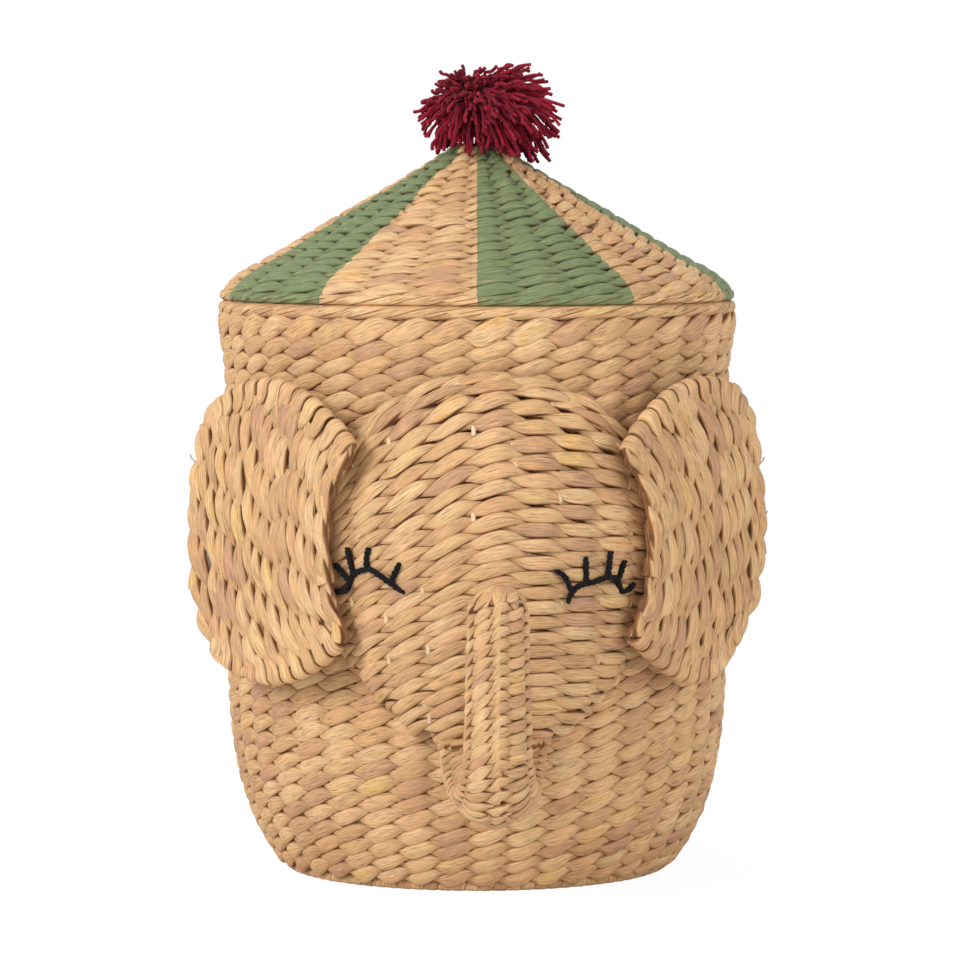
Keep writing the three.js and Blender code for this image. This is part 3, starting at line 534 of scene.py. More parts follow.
def hyacinth(name, painted):
    """Dried water hyacinth stem, laid as flat twisted strands: straw and tan with rosy and golden stitches,
    fine fibre lines along each strand, a faint satin on the crests, and painted brown shade in the gaps and
    along each side of a strand.
    Where it is painted, a thin matt sage coat lies on every second sector of the lid, and the
    natural fibre shows through it in lines and in the gaps."""
    material, add = plain_material(name)
    fibre = add("ShaderNodeAttribute", attribute_name="fibre").outputs["Vector"]
    tone = add("ShaderNodeAttribute", attribute_name="tone").outputs["Fac"]
    depth = add("ShaderNodeAttribute", attribute_name="depth").outputs["Fac"]

    # Fibres under 1 mm apart, bundles of them 3 mm wide, and blotches some 25 mm long.
    noises = []
    for scale in ((0.09, 2.1, 1), (0.03, 0.42, 1), (0.045, 0.12, 1)):
        place = add("ShaderNodeVectorMath", {0: fibre, 1: scale}, operation="MULTIPLY")
        settings = {"Vector": place, "Scale": 1.0, "Detail": 2.0, "Distortion": 0.25}
        noises.append(add("ShaderNodeTexNoise", settings))
    fine, bundle, blotch = noises
    # How near each point lies to a strand's side, for the painted shade line along the sides.
    rim = add("ShaderNodeAttribute", attribute_name="edge").outputs["Fac"]
    # Each value's low and high end, and what those two ends become.
    ranges = {
        "stain": (blotch, 0.6, 0.8, 0.0, 1.0),
        "lines": (fine, 0.38, 0.62, 0.66, 1.24),
        "split": (fine, 0.32, 0.4, 0.42, 1.0),
        "calm": (blotch, 0.35, 0.6, 0.5, 1.0),
        "middle": (rim, 0.8, 0.97, 1.0, 0.0),
        "rough": (bundle, 0.3, 0.7, 0.5, 0.8),
    }
    if painted:
        # Paint reaches the outside of the strands, thins on the gaps and breaks along dry fibres.
        ranges["outside"] = (depth, 0.0, 0.3, 0.0, 1.0)
        ranges["worn"] = (fine, 0.66, 0.74, 1.0, 0.35)
        ranges["bare"] = (blotch, 0.68, 0.8, 1.0, 0.5)
    fitted = {}
    for key, (value, low, high, start, end) in ranges.items():
        ends = {"From Min": low, "From Max": high, "To Min": start, "To Max": end}
        fitted[key] = add("ShaderNodeMapRange", {"Value": value, **ends})

    # Stitches differ a little in tone, and in how rosy or how golden they are.
    mixed = add("ShaderNodeMath", {0: bundle, 1: 0.55, 2: -0.19}, operation="MULTIPLY_ADD")
    mixed = add("ShaderNodeMath", {0: tone, 1: 0.85, 2: mixed}, operation="MULTIPLY_ADD")
    ramp = add("ShaderNodeValToRGB", {"Fac": mixed})
    places = (0.0, 0.14, 0.4, 0.65, 0.86, 0.93, 1.0)
    codes = ("BE9275", "C99C73", "D5A976", "DCB180", "E2BB8C", "DFB272", "DBAC6E")
    while len(ramp.color_ramp.elements) < len(places):
        ramp.color_ramp.elements.new(0.5)
    for element, place, code in zip(ramp.color_ramp.elements, places, codes):
        element.position = place
        element.color = linear(code)
    hue = add("ShaderNodeMath", {0: tone, 1: 37.0}, operation="MULTIPLY")
    hue = add("ShaderNodeMath", {0: hue}, operation="FRACT")
    tint = add(
        "ShaderNodeMix", {0: hue, 6: (1.01, 0.96, 0.97, 1), 7: (0.985, 1.02, 1.0, 1)}, data_type="RGBA"
    ).outputs[2]
    colour = add("ShaderNodeVectorMath", {0: ramp, 1: tint}, operation="MULTIPLY")

    stain = add("ShaderNodeMath", {0: fitted["stain"], 1: 0.5}, operation="MULTIPLY")
    colour = add("ShaderNodeMix", {0: stain, 6: colour, 7: linear("A98072")}, data_type="RGBA").outputs[2]

    if painted:
        place = add("ShaderNodeTexCoord").outputs["Object"]
        parts = add("ShaderNodeSeparateXYZ", {0: place}).outputs
        front = add("ShaderNodeMath", {0: parts[1], 1: -1.0}, operation="MULTIPLY")
        turn = add("ShaderNodeMath", {0: parts[0], 1: front}, operation="ARCTAN2")
        waver = add("ShaderNodeTexNoise", {"Vector": place, "Scale": 260.0})
        waver = add("ShaderNodeMath", {0: waver, 1: 0.5}, operation="SUBTRACT")
        turn = add("ShaderNodeMath", {0: waver, 1: 0.02, 2: turn}, operation="MULTIPLY_ADD")
        start, pair = math.radians(STRIPE_START), math.radians(2 * STRIPE_WIDTH)
        for operation, value in (("SUBTRACT", start), ("DIVIDE", pair), ("ADD", 10.0)):
            turn = add("ShaderNodeMath", {0: turn, 1: value}, operation=operation)
        turn = add("ShaderNodeMath", {0: turn}, operation="FRACT")
        mask = add("ShaderNodeMath", {0: turn, 1: 0.5}, operation="LESS_THAN")
        for key in ("outside", "worn", "bare"):
            mask = add("ShaderNodeMath", {0: mask, 1: fitted[key]}, operation="MULTIPLY")
        paint = add(
            "ShaderNodeMix", {0: bundle, 6: linear("69805C"), 7: linear("888D5C")}, data_type="RGBA"
        ).outputs[2]
        colour = add("ShaderNodeMix", {0: mask, 6: colour, 7: paint}, data_type="RGBA").outputs[2]

    # Fibres are lighter and darker in turn, more so in some places, with dark splits where they part.
    lines = add("ShaderNodeMath", {0: fitted["lines"], 1: fitted["split"]}, operation="MULTIPLY")
    lines = add("ShaderNodeMix", {0: fitted["calm"], 2: 1.0, 3: lines})
    colour = add("ShaderNodeVectorMath", {0: colour, "Scale": lines}, operation="SCALE")

    # Painted shade: the colour turns dark brown in the gaps between courses, where a strand dips into the
    # weave, and in a thin line along each side of a strand.
    flat = add("ShaderNodeMath", {0: depth}, operation="ABSOLUTE")
    shade = {"Value": flat, "From Min": 0.0, "From Max": 0.21}
    shade = add("ShaderNodeMapRange", shade, interpolation_type="SMOOTHSTEP")
    shade = add("ShaderNodeMath", {0: shade, 1: fitted["middle"]}, operation="MULTIPLY")
    dark = add("ShaderNodeVectorMath", {0: colour, 1: (0.29, 0.18, 0.11)}, operation="MULTIPLY")
    colour = add("ShaderNodeMix", {0: shade, 6: dark, 7: colour}, data_type="RGBA").outputs[2]

    relief = add("ShaderNodeMath", {0: bundle, 1: 0.4, 2: fine}, operation="MULTIPLY_ADD")
    bump = add("ShaderNodeBump", {"Height": relief, "Strength": 1.0, "Distance": 0.55 * MM})
    finish = {"Base Color": colour, "Roughness": fitted["rough"], "Specular IOR Level": 0.35, "Normal": bump}
    shader = add("ShaderNodeBsdfPrincipled", finish)
    add("ShaderNodeOutputMaterial", {"Surface": shader})
    return material


def yarn(name, light, deep, roughness, dark_root=0):
    """Dyed cotton or wool yarn: two plies that show as slanting lines every 2 mm, with painted shade between
    them, and a soft matt nap. A dark root is how many mm of its length lie in painted shade at the tie."""
    material, add = plain_material(name)
    fibre = add("ShaderNodeAttribute", attribute_name="fibre").outputs["Vector"]
    tone = add("ShaderNodeAttribute", attribute_name="tone").outputs["Fac"]
    parts = add("ShaderNodeSeparateXYZ", {0: fibre}).outputs
    slant = add("ShaderNodeMath", {0: parts[1], 1: 1.1, 2: parts[0]}, operation="MULTIPLY_ADD")
    slant = add("ShaderNodeMath", {0: slant, 1: math.pi}, operation="MULTIPLY")
    plies = add("ShaderNodeMath", {0: slant}, operation="SINE")
    fuzz = add("ShaderNodeTexNoise", {"Vector": fibre, "Scale": 2.2, "Detail": 3.0})
    level = add("ShaderNodeMath", {0: plies, 1: 0.22, 2: fuzz}, operation="MULTIPLY_ADD")
    level = add("ShaderNodeMath", {0: tone, 1: 0.3, 2: level}, operation="MULTIPLY_ADD")
    share = add("ShaderNodeMapRange", {"Value": level, "From Min": 0.3, "From Max": 0.95})
    # Painted shade: the colour goes towards the deep one in the grooves between the plies, and the fuzz and
    # the tone vary it at random.
    colour = add(
        "ShaderNodeMix", {0: share, 6: linear(deep), 7: linear(light)}, data_type="RGBA"
    ).outputs[2]
    # Painted shade: the yarn darkens towards the tie, where it lies deep inside the pom-pom.
    if dark_root:
        lit = {"Value": parts[0], "From Min": 6.0, "From Max": dark_root, "To Min": 0.2}
        lit = add("ShaderNodeMapRange", lit)
        colour = add("ShaderNodeVectorMath", {0: colour, "Scale": lit}, operation="SCALE")
    relief = add("ShaderNodeMath", {0: plies, 1: 0.5, 2: fuzz}, operation="MULTIPLY_ADD")
    bump = add("ShaderNodeBump", {"Height": relief, "Strength": 0.6, "Distance": 0.5 * MM})
    finish = {"Base Color": colour, "Roughness": roughness, "Specular IOR Level": 0.2, "Normal": bump}
    finish |= {"Sheen Weight": 0.03, "Sheen Roughness": 0.5}
    shader = add("ShaderNodeBsdfPrincipled", finish)
    add("ShaderNodeOutputMaterial", {"Surface": shader})
    return material


def drawn_wire(name):
    """Bare drawn steel wire, welded into a cage: dull grey with faint draw marks and brown spots."""
    material, add = plain_material(name)
    place = add("ShaderNodeTexCoord").outputs["Object"]
    spots = add("ShaderNodeTexNoise", {"Vector": place, "Scale": 180.0, "Detail": 4.0})
    share = add("ShaderNodeMapRange", {"Value": spots, "From Min": 0.52, "From Max": 0.68})
    colour = add(
        "ShaderNodeMix", {0: share, 6: linear("84827E"), 7: linear("5E4A3A")}, data_type="RGBA"
    ).outputs[2]
    rough = add("ShaderNodeMapRange", {"Value": spots, "To Min": 0.32, "To Max": 0.62})
    bump = add("ShaderNodeBump", {"Height": spots, "Strength": 0.3, "Distance": 0.2 * MM})
    finish = {"Base Color": colour, "Roughness": rough, "Metallic": 0.9, "Normal": bump}
    shader = add("ShaderNodeBsdfPrincipled", finish)
    add("ShaderNodeOutputMaterial", {"Surface": shader})
    return material


def peeled_stake(name):
    """Peeled reed: smooth and cream, with faint lengthwise grain, paler than the strands round it."""
    material, add = plain_material(name)
    fibre = add("ShaderNodeAttribute", attribute_name="fibre").outputs["Vector"]
    grain = add("ShaderNodeVectorMath", {0: fibre, 1: (0.1, 2.5, 1)}, operation="MULTIPLY")
    grain = add("ShaderNodeTexNoise", {"Vector": grain, "Scale": 1.0, "Detail": 1.0})
    colour = add(
        "ShaderNodeMix", {0: grain, 6: linear("CFB088"), 7: linear("E8D0AA")}, data_type="RGBA"
    ).outputs[2]
    shader = add("ShaderNodeBsdfPrincipled", {"Base Color": colour, "Roughness": 0.5})
    add("ShaderNodeOutputMaterial", {"Surface": shader})
    return material


# The finishes of the pieces: a material and the slot of the record that it stands for
NATURAL = hyacinth("Dried water hyacinth strand", False), "hyacinth"
PAINTED = hyacinth("Water hyacinth strand, half painted sage", True), "painted_hyacinth"
BLACK_YARN = yarn("Black wool yarn", "1C1B1C", "060607", 0.95), "black_yarn"
RED_YARN = yarn("Burgundy cotton yarn", "B01C3A", "3A0610", 0.8, 34.0), "burgundy_yarn"
WIRE = drawn_wire("Drawn steel wire")
STAKE = peeled_stake("Peeled reed stake"), "hyacinth"


# The wall and the floor


def course_run(line, pitches, stakes, thickness):
    """One line that climbs a turned surface, a course at each round. It steps up at the back."""
    at, angles, turns, sizes = [], [], [], []
    middle, turned = 0.0, 0.0
    usual = np.mean(pitches)
    for k, (pitch, count) in enumerate(zip(pitches, stakes)):
        here = middle + pitch / 2
        middle += pitch
        rise = (pitch + pitches[k + 1]) / 2 if k + 1 < len(pitches) else 0.0
        share = np.linspace(0, 1, count * STEPS, endpoint=False)
        step_up = np.clip((share - 1) * count / 1.5 + 1, 0, 1)
        at.append(here + rise * step_up**2 * (3 - 2 * step_up))
        angles.append(-math.pi + 2 * math.pi * share)
        turns.append(turned + count * share - count / 2)
        sizes.append(np.full(len(share), pitch / usual))
        turned += count
    at, angles, turns, sizes = map(np.concatenate, (at, angles, turns, sizes))
    # Both ends run on a little way beside their neighbours, thinner, so that no hole is left there.
    tail = np.arange(1, 2 * STEPS)
    first, last = np.diff(angles)[[0, -1]]
    thin = np.linspace(0.9, 0.55, len(tail))
    at = np.concatenate([np.full(len(tail), at[0]), at, np.full(len(tail), at[-1])])
    angles = np.concatenate([angles[0] - first * tail[::-1], angles, angles[-1] + last * tail])
    turns = np.concatenate([turns[0] - tail[::-1] / STEPS, turns, turns[-1] + tail / STEPS])
    sizes = np.concatenate([sizes[0] * thin[::-1], sizes, sizes[-1] * thin])
    points, out = on_turned(line, at, angles, thickness / 2)
    return points, out, turns, sizes


def parts_of(run, courses):
    """The run cut into lengths of so many points each, which meet end to end."""
    points, out, turns, sizes = run
    start = 0
    for count in courses:
        stop = min(start + count + 1, len(points))
        yield twined(points[start:stop], out[start:stop], turns[start:stop], sizes[start:stop])
        start += count


def wall():
    """The wall's courses, one line that climbs it, cut into three pieces."""
    length = len(WALL_LINE) - 1
    pitch = length / (WALL_COURSES - 1 + TOP_COURSE)
    pitches = [pitch] * (WALL_COURSES - 1) + [pitch * TOP_COURSE]
    run = course_run(WALL_LINE, pitches, [WALL_STAKES] * WALL_COURSES, WALL_THICKNESS)
    third = WALL_COURSES // 3 * WALL_STAKES * STEPS
    lengths = parts_of(run, [third, third, third * 2])
    for name, guides in zip(("wall_low", "wall_middle", "wall_high"), lengths):
        piece_of(name, guides, NATURAL, sized(ROPE, half_width=7.3), "basket", "wall_weave", len(name))


def wound_ring(ring, section, squareness=0.75):
    """A strand wound round a ring, one wrap beside the next."""
    radius, height = ring
    wraps = round(2 * math.pi * radius / WRAP_WIDTH)
    sides = 14
    share = np.linspace(0, 1, wraps * sides + 1)
    angle = 2 * math.pi * share
    around = 2 * math.pi * wraps * share
    out_share = np.sign(np.cos(around)) * np.abs(np.cos(around)) ** squareness
    up_share = np.sign(np.sin(around)) * np.abs(np.sin(around)) ** squareness
    points = polar(radius + section[0] * out_share, angle, height + section[1] * up_share)
    out = polar(np.cos(around) / section[0], angle, np.sin(around) / section[1])
    return laid(points, unit(out), turn=wraps * share)


def round_ring(ring, section, angle, around, lift=0.0):
    """Points round the section of a ring at angles about the basket's axis, with their outward
    vectors."""
    across, up = np.cos(around), np.sin(around)
    points = polar(ring[0] + (section[0] + lift) * across, angle, ring[1] + (section[1] + lift) * up)
    return points, unit(polar(across / section[0], angle, up / section[1]))


def laid_ring(ring, section, strands=6, twists=8):
    """Long strands laid along a ring with a slow twist, and a narrow tie round them here and there."""
    share = np.linspace(0, 1, 281)
    guides = []
    for k in range(strands):
        around = 2 * math.pi * (k / strands + twists * share)
        around += 0.2 * np.sin(2 * math.pi * (9 * share + k / 3))
        points, out = round_ring(ring, section, math.pi + 2 * math.pi * share, around)
        guides += laid(points, out, turn=9 * k + 23 * share)
    chance = np.random.default_rng(17)
    around = np.linspace(0, 2 * math.pi, 15)
    for angle in np.arange(0, 2 * math.pi, 0.24) + chance.uniform(0, 0.16, 27):
        angle = angle + 0.012 * np.sin(around)
        points, out = round_ring(ring, section, angle, around, lift=0.9)
        guides += laid(points, out, 0.5, turn=angle * 9, thick=0.5)
    return guides


def bindings():
    """The strands laid along or wound round the rings of the basket and the lid."""
    wrap = sized(RIBBON, half_width=WRAP_WIDTH * 0.55, half_depth=1.2, squareness=0.75)
    long = sized(RIBBON, half_width=3.4, half_depth=1.5, squareness=0.85, crease=0.5)
    rings = [
        ("rim_wrap", "rim_binding", RIM_RING, RIM_SECTION, "basket", NATURAL, laid_ring, long),
        ("base_wrap", "base_binding", BASE_RING, BASE_SECTION, "basket", NATURAL, wound_ring, wrap),
        ("lid_edge_wrap", "lid_edge_binding", LID_RING, LID_SECTION, "lid", PAINTED, laid_ring, long),
        ("locating_wrap", "lid_locating_ring", SEAT_RING, SEAT_SECTION, "lid", NATURAL, wound_ring, wrap),
    ]
    for name, node, ring, section, body, finish, way, sizes in rings:
        section = (section[0] - WRAP_INSET, section[1] - WRAP_INSET)
        piece_of(name, way(ring, section), finish, sizes, body, node, len(name))


def floor_mat():
    """The floor's courses, from its edge to its middle."""
    radii = np.linspace(BASE_MAT_RADIUS, 2, BASE_MAT_RADIUS)
    line = np.stack([radii, np.full(BASE_MAT_RADIUS, FLOOR_LEVEL)], axis=1)
    pitches = [(BASE_MAT_RADIUS - 2) / len(FLOOR_STAKES)] * len(FLOOR_STAKES)
    guides = twined(*course_run(line, pitches, FLOOR_STAKES, FLOOR_THICKNESS))
    flat = sized(ROPE, reach=1.5, half_depth=2.3, crease=0.3)
    piece_of("floor_mat", guides, NATURAL, flat, "basket", "base_weave", 5)


# The face


def face_half_width(height):
    """Half the panel's width: an arch above its widest place, and a chin below it."""
    height = np.asarray(height, float)
    above = (height - FACE_WIDEST) / (FACE_TOP - FACE_WIDEST)
    upper = FACE_HALF_WIDTH * np.sqrt(np.clip(1 - above**2, 0, 1))
    below = np.clip((height - FACE_BOTTOM) / (FACE_WIDEST - FACE_BOTTOM), 0, 1)
    lower = spread(CHIN_HALF_WIDTH, FACE_HALF_WIDTH, np.sin(math.pi / 2 * below) ** 0.8)
    return np.where(height >= FACE_WIDEST, upper, lower)


def face_radius(sideways, height):
    """How far the panel is from the basket's axis. It stands out most at its ridge."""
    fall = np.clip((FACE_TOP - height) / ((FACE_TOP - FACE_BOTTOM) * 0.6), 0, 1)
    crown = spread(FACE_EDGE, FACE_CROWN, np.sin(math.pi / 2 * fall) ** 0.8)
    out = np.minimum(1, np.abs(sideways) / np.maximum(face_half_width(height), 1))
    return wall_radius(height) + spread(crown, FACE_EDGE, 0.55 * out + 0.45 * out**2)


def face_point(sideways, height, depth=0.0):
    """Points of the panel, at a distance round the wall, a height and a depth."""
    angle = sideways / wall_radius(height)
    return polar(face_radius(sideways, height) - depth, angle, height)


def face_out(sideways, height):
    """The vectors out of the panel's surface."""
    step = 2.0
    right = face_point(sideways + step, height) - face_point(sideways - step, height)
    up = face_point(sideways, height + step) - face_point(sideways, height - step)
    return unit(np.cross(right, up))


def face_row(top, slope, follow):
    """One arched course, out to where it meets the panel's edge on both sides."""
    halves = []
    for side in (-1, 1):
        out = np.arange(0, FACE_HALF_WIDTH, 0.5)
        arch = slope * (np.hypot(out, 16) - 16)
        edge = (FACE_TOP - FACE_WIDEST) * (1 - np.sqrt(np.clip(1 - (out / FACE_HALF_WIDTH) ** 2, 0, 1)))
        height = top - spread(arch, edge, follow)
        beyond = (out > face_half_width(height) - 4) | (height < FACE_BOTTOM + 4)
        stop = int(np.argmax(beyond)) if beyond.any() else len(out) - 1
        halves.append(np.stack([side * out[: stop + 1], height[: stop + 1]], axis=1))
    left, right = halves
    return np.concatenate([left[:0:-1], right])


def both_ends_folded(points, out):
    """Carries a course on past both its ends, round the edge of the panel and in towards the wall."""
    turn = np.linspace(0, math.pi * 0.55, 5)[1:, None]
    for _ in range(2):
        end, along = points[-1], unit(points[-1] - points[-2])
        inwards = unit(-end * (1, 1, 0))
        more = end + along * FOLD_REACH * np.sin(turn) + inwards * FOLD_REACH * (1 - np.cos(turn))
        more_out = unit(out[-1] * np.cos(turn) + along * np.sin(turn))
        points = np.concatenate([points, more])[::-1]
        out = np.concatenate([out, more_out])[::-1]
    return points, out


def face():
    """The panel's arched courses, the stakes that show between them, and its upper edge."""
    guides, stakes = [], []
    chance = np.random.default_rng(5)
    top, k = FACE_TOP - 7.0, 0
    while top > FACE_BOTTOM + 4:
        fall = (FACE_TOP - top) / (FACE_TOP - FACE_BOTTOM)
        pitch = spread(*FACE_PITCHES, min(1, fall * 1.3))
        slope = spread(*FACE_SLOPES, min(1, fall * 1.4))
        row = face_row(top, slope, 0.75 * max(0, 1 - k / 7) ** 1.5)
        if abs(row[-1, 0] - row[0, 0]) > SHORTEST_COURSE:
            steep = np.gradient(row[:, 1]) / np.maximum(np.abs(np.gradient(row[:, 0])), 1e-3)
            flat = evenly(np.column_stack([row, steep]), FACE_STAKE_GAP / STEPS / 1.1)
            sideways, height, steep = flat.T
            points = face_point(sideways, height, FACE_DEPTH)
            out = face_out(sideways, height)
            count = len(points)
            points, out = both_ends_folded(points, out)
            extra = (len(points) - count) // 2
            beyond = np.arange(1, extra + 1) * 2.5
            sideways = np.concatenate([sideways[0] - beyond[::-1], sideways, sideways[-1] + beyond])
            steep = np.concatenate([np.full(extra, steep[0]), steep, np.full(extra, steep[-1])])
            size = pitch / FACE_COURSE / np.hypot(1, steep) ** 0.45
            sway = 0.06 * math.sin(k * 2.4)
            guides += twined(points, out, sideways / FACE_STAKE_GAP + sway, size)
            first, last = (math.ceil(sideways[end] / FACE_STAKE_GAP) for end in (extra, -extra))
            for n in range(first, last):
                if chance.random() < FACE_STAKES_SEEN:
                    place = np.full(5, (n + 0.5 - sway) * FACE_STAKE_GAP)
                    level = np.interp(place, flat[:, 0], flat[:, 1]) - pitch / 2 + np.linspace(-3.4, 3.4, 5)
                    peg = face_point(place, level, 3.9)
                    stakes += laid(peg, face_out(place, level), turn=n + k)
        top -= pitch
        k += 1
    # Two long strands close the upper edge of the panel, outside the ends of its courses.
    for inset, lift in ((3.5, 1.0), (10.0, 2.2)):
        angle = np.linspace(-1.62, 1.62, 90)
        sideways = (FACE_HALF_WIDTH - inset) * np.sin(angle)
        height = FACE_WIDEST + (FACE_TOP - FACE_WIDEST - inset) * np.cos(angle)
        points = face_point(sideways, height, FACE_DEPTH - lift)
        turn = np.cumsum(np.concatenate([[0], np.linalg.norm(np.diff(points, axis=0), axis=1)])) / 38
        guides += twined(points, face_out(sideways, height), turn, 0.62)
    piece_of("face_courses", guides, NATURAL, ROPE, "basket", "face_weave", 11)
    piece_of("face_stakes", stakes, STAKE, sized(RIBBON, half_width=1.7), "basket", "face_weave", 12)


# The eyes


def eyes():
    """Sleeping eyes: a curve and short lashes, each a length of yarn laid on the face."""
    fine = sized(ROPE, reach=0.6, rise=0.6, half_width=2.1, half_depth=2.0, pinch=0.95)
    for name, (place, stitches) in EYES.items():
        guides = []
        for stitch in stitches:
            sideways, height = evenly(through(np.array(stitch) * EYE_WIDTH + place, 8), 1.2).T
            count = len(sideways)
            size = 0.84 * (1 - 0.55 * np.abs(np.linspace(-1, 1, count)) ** 9)
            points = face_point(sideways, height, -1.2)
            guides += twined(points, face_out(sideways, height), np.arange(count) / 3.0, size)
        piece_of(name, guides, BLACK_YARN, fine, "basket", name + "_yarn", 3)


# The trunk


def trunk_middle(share):
    """Reach, height and direction of the trunk's middle at a share of the way from its root."""
    bend = np.clip(share / TRUNK_BEND_SHARE, 0, 1) * math.pi
    straight = np.clip((share - TRUNK_BEND_SHARE) / (1 - TRUNK_BEND_SHARE), 0, None)
    end = TRUNK_ROOT[0] + 2 * TRUNK_BEND
    reach = TRUNK_ROOT[0] + TRUNK_BEND * (1 - np.cos(bend)) + straight * (TRUNK_TIP_START[0] - end)
    height = TRUNK_ROOT[1] - TRUNK_BEND * np.sin(bend) + straight * (TRUNK_TIP_START[1] - TRUNK_ROOT[1])
    return reach, height, bend


def trunk_surface(along, angle, inset):
    """Points at a distance along the trunk and an angle round it, from its front, with their normals."""
    bend_length = math.pi * TRUNK_BEND
    straight_length = TRUNK_TIP_START[1] - TRUNK_ROOT[1]
    in_bend = TRUNK_BEND_SHARE * along / bend_length
    past_bend = (1 - TRUNK_BEND_SHARE) * (along - bend_length) / straight_length
    share = np.where(along < bend_length, in_bend, TRUNK_BEND_SHARE + past_bend)
    tip = np.clip((along - bend_length - straight_length) / TRUNK_TIP_LENGTH, 0, 1)
    shrink = np.cos(tip * math.pi / 2 * 0.97)
    reach, height, bend = trunk_middle(np.minimum(share, 1))
    height = height + (TRUNK_TIP_LENGTH - inset) * np.sin(tip * math.pi / 2)
    half_width = np.maximum(np.interp(share, TRUNK_STATIONS, TRUNK_HALF_WIDTHS) * shrink - inset, 1.5)
    half_depth = np.maximum(np.interp(share, TRUNK_STATIONS, TRUNK_HALF_DEPTHS) * shrink - inset, 1.5)
    power = 2 / TRUNK_ROUNDNESS
    across = np.sign(np.sin(angle)) * np.abs(np.sin(angle)) ** power
    outwards = np.sign(np.cos(angle)) * np.abs(np.cos(angle)) ** power
    # The section's outward direction turns with the bend, from the wall side to the front.
    direction = np.stack([np.zeros_like(bend), np.cos(bend), -np.sin(bend)], axis=1)
    middle = np.stack([np.zeros_like(reach), -reach, height], axis=1)
    points = middle + direction * (half_depth * outwards)[:, None]
    points[:, 0] += half_width * across
    normal = direction * (np.cos(angle) / half_depth)[:, None]
    normal[:, 0] += np.sin(angle) / half_width
    normal = unit(normal)
    normal[:, 2] += np.sin(tip * math.pi / 2) * 1.5
    return points, unit(normal), half_depth * outwards


def trunk():
    """Courses wound round the trunk from its root, with a ridge down its front."""
    bend_length = math.pi * TRUNK_BEND
    length = bend_length + TRUNK_TIP_START[1] - TRUNK_ROOT[1] + TRUNK_TIP_LENGTH
    at, pitches = 0.0, []
    while at < length - 13:
        pitch = TRUNK_COURSE * (TRUNK_BEND_COURSE if at < bend_length else 1.0)
        pitches.append((at, pitch))
        at += pitch
    share = np.arange(TRUNK_STAKES * 6) / (TRUNK_STAKES * 6)
    places = np.concatenate([start + pitch * share for start, pitch in pitches])
    turns = np.concatenate([k + share for k in range(len(pitches))])
    angle = 2 * math.pi * turns - math.pi
    arch = np.clip((places - bend_length * 0.5) / 40, 0, 1) * np.clip((length - places) / 30, 0, 1)
    along = np.clip(places + 7 * arch * (1 - 2 * np.abs(np.sin(angle / 2))), 0, length - 1.5)
    points, normal, outwards = trunk_surface(along, angle, TRUNK_DEPTH)
    spacing = np.where(places < bend_length, TRUNK_BEND_COURSE * (1 + outwards / TRUNK_BEND), 1.0)
    size = np.clip(spacing, 0.3, 1.7) * 0.71 * np.clip((length - places) / 16, 0.5, 1)
    guides = twined(points, normal, angle * TRUNK_STAKES / (2 * math.pi), size)
    # Strands laid across the root close it below the chin.
    for row in np.linspace(-0.85, 0.85, 6):
        sideways = np.linspace(-1, 1, 9) * (TRUNK_HALF_WIDTHS[0] - 4) * math.sqrt(1 - row**2)
        depth = np.full(9, -TRUNK_ROOT[0] - row * (TRUNK_HALF_DEPTHS[0] - 2))
        points = np.stack([sideways, depth, TRUNK_ROOT[1] + 2.5 - 0.002 * sideways**2], axis=1)
        guides += laid(points, (0, -0.3, 1), 0.72, turn=row)
    # Short strands close the tip, and long ones run down the sides of the root and under the bend.
    share = np.linspace(0, 1, 9)
    for angle in (3.14, -2.3, 2.3, -1.5, 1.5, -0.75, 0.75, 0.0):
        points, normal, _ = trunk_surface(length - 2.5 - 17 * share, np.full(9, angle), 4.2)
        guides += laid(points, normal, 0.2 + 0.62 * np.sin(math.pi * share**0.8) ** 0.7, turn=angle)
    for side in (-1, 1):
        for inset, lift in ((0.0, 1.6), (0.16, 0.6), (0.34, 0.0)):
            share = np.linspace(0, 1, 26)
            angle = side * (1.62 - 1.35 * share**1.6 - 1.2 * inset * (1 - share))
            points, normal, _ = trunk_surface(6 + 62 * share * (1 - 0.6 * inset), angle, 4.4 - lift)
            size = 0.52 * np.sin(math.pi * np.clip(share, 0.06, 0.9)) ** 0.4
            guides += laid(points, normal, size, turn=7 * inset)
    sizes = sized(ROPE, half_depth=2.8, reach=1.8)
    piece_of("trunk_courses", guides, NATURAL, sizes, "basket", "trunk_weave", 21)


# The ears


def ear_vectors(side):
    """Outwards along the wall, up, and away from the wall."""
    turn = side * math.radians(EAR_ANGLE[side])
    along = np.array([math.cos(turn), math.sin(turn), 0.0]) * side
    return along, np.array([0, 0, 1.0]), polar(1.0, turn, 0.0)


def ear_place(side, out, up, away):
    """A point of the ear, from its middle: out along the wall, up, and away from the wall."""
    along, upwards, outwards = ear_vectors(side)
    out, up, away = (np.asarray(v, float)[..., None] for v in (out, up, away))
    return outwards * (EAR_REACH[side] + away) + along * out + upwards * (EAR_MIDDLE + up)


def inside(outline, points):
    """Whether each point lies inside a closed outline."""
    x, y = points[:, 0, None], points[:, 1, None]
    x0, y0 = outline.T
    x1, y1 = np.roll(outline, -1, axis=0).T
    crossed = ((y0 > y) != (y1 > y)) & (x < x0 + (x1 - x0) * (y - y0) / np.where(y1 == y0, 1e-9, y1 - y0))
    return crossed.sum(axis=1) % 2 == 1


def drawn_in(outline, amount):
    """The outline moved inwards all round."""
    heading = unit(np.roll(outline, -1, axis=0) - np.roll(outline, 1, axis=0))
    return outline + np.stack([heading[:, 1], -heading[:, 0]], axis=1) * amount


def ear_fan(share, y, inner, outer):
    """Where a course lies at a height: upright in the middle, it spreads towards the inner corners."""
    spread_out = 26 * (1 - share) ** 1.5 * np.abs(y / 65) ** 2.5
    return spread(inner, outer, share) - spread_out - 7 * share**3 * (y / 100) ** 2


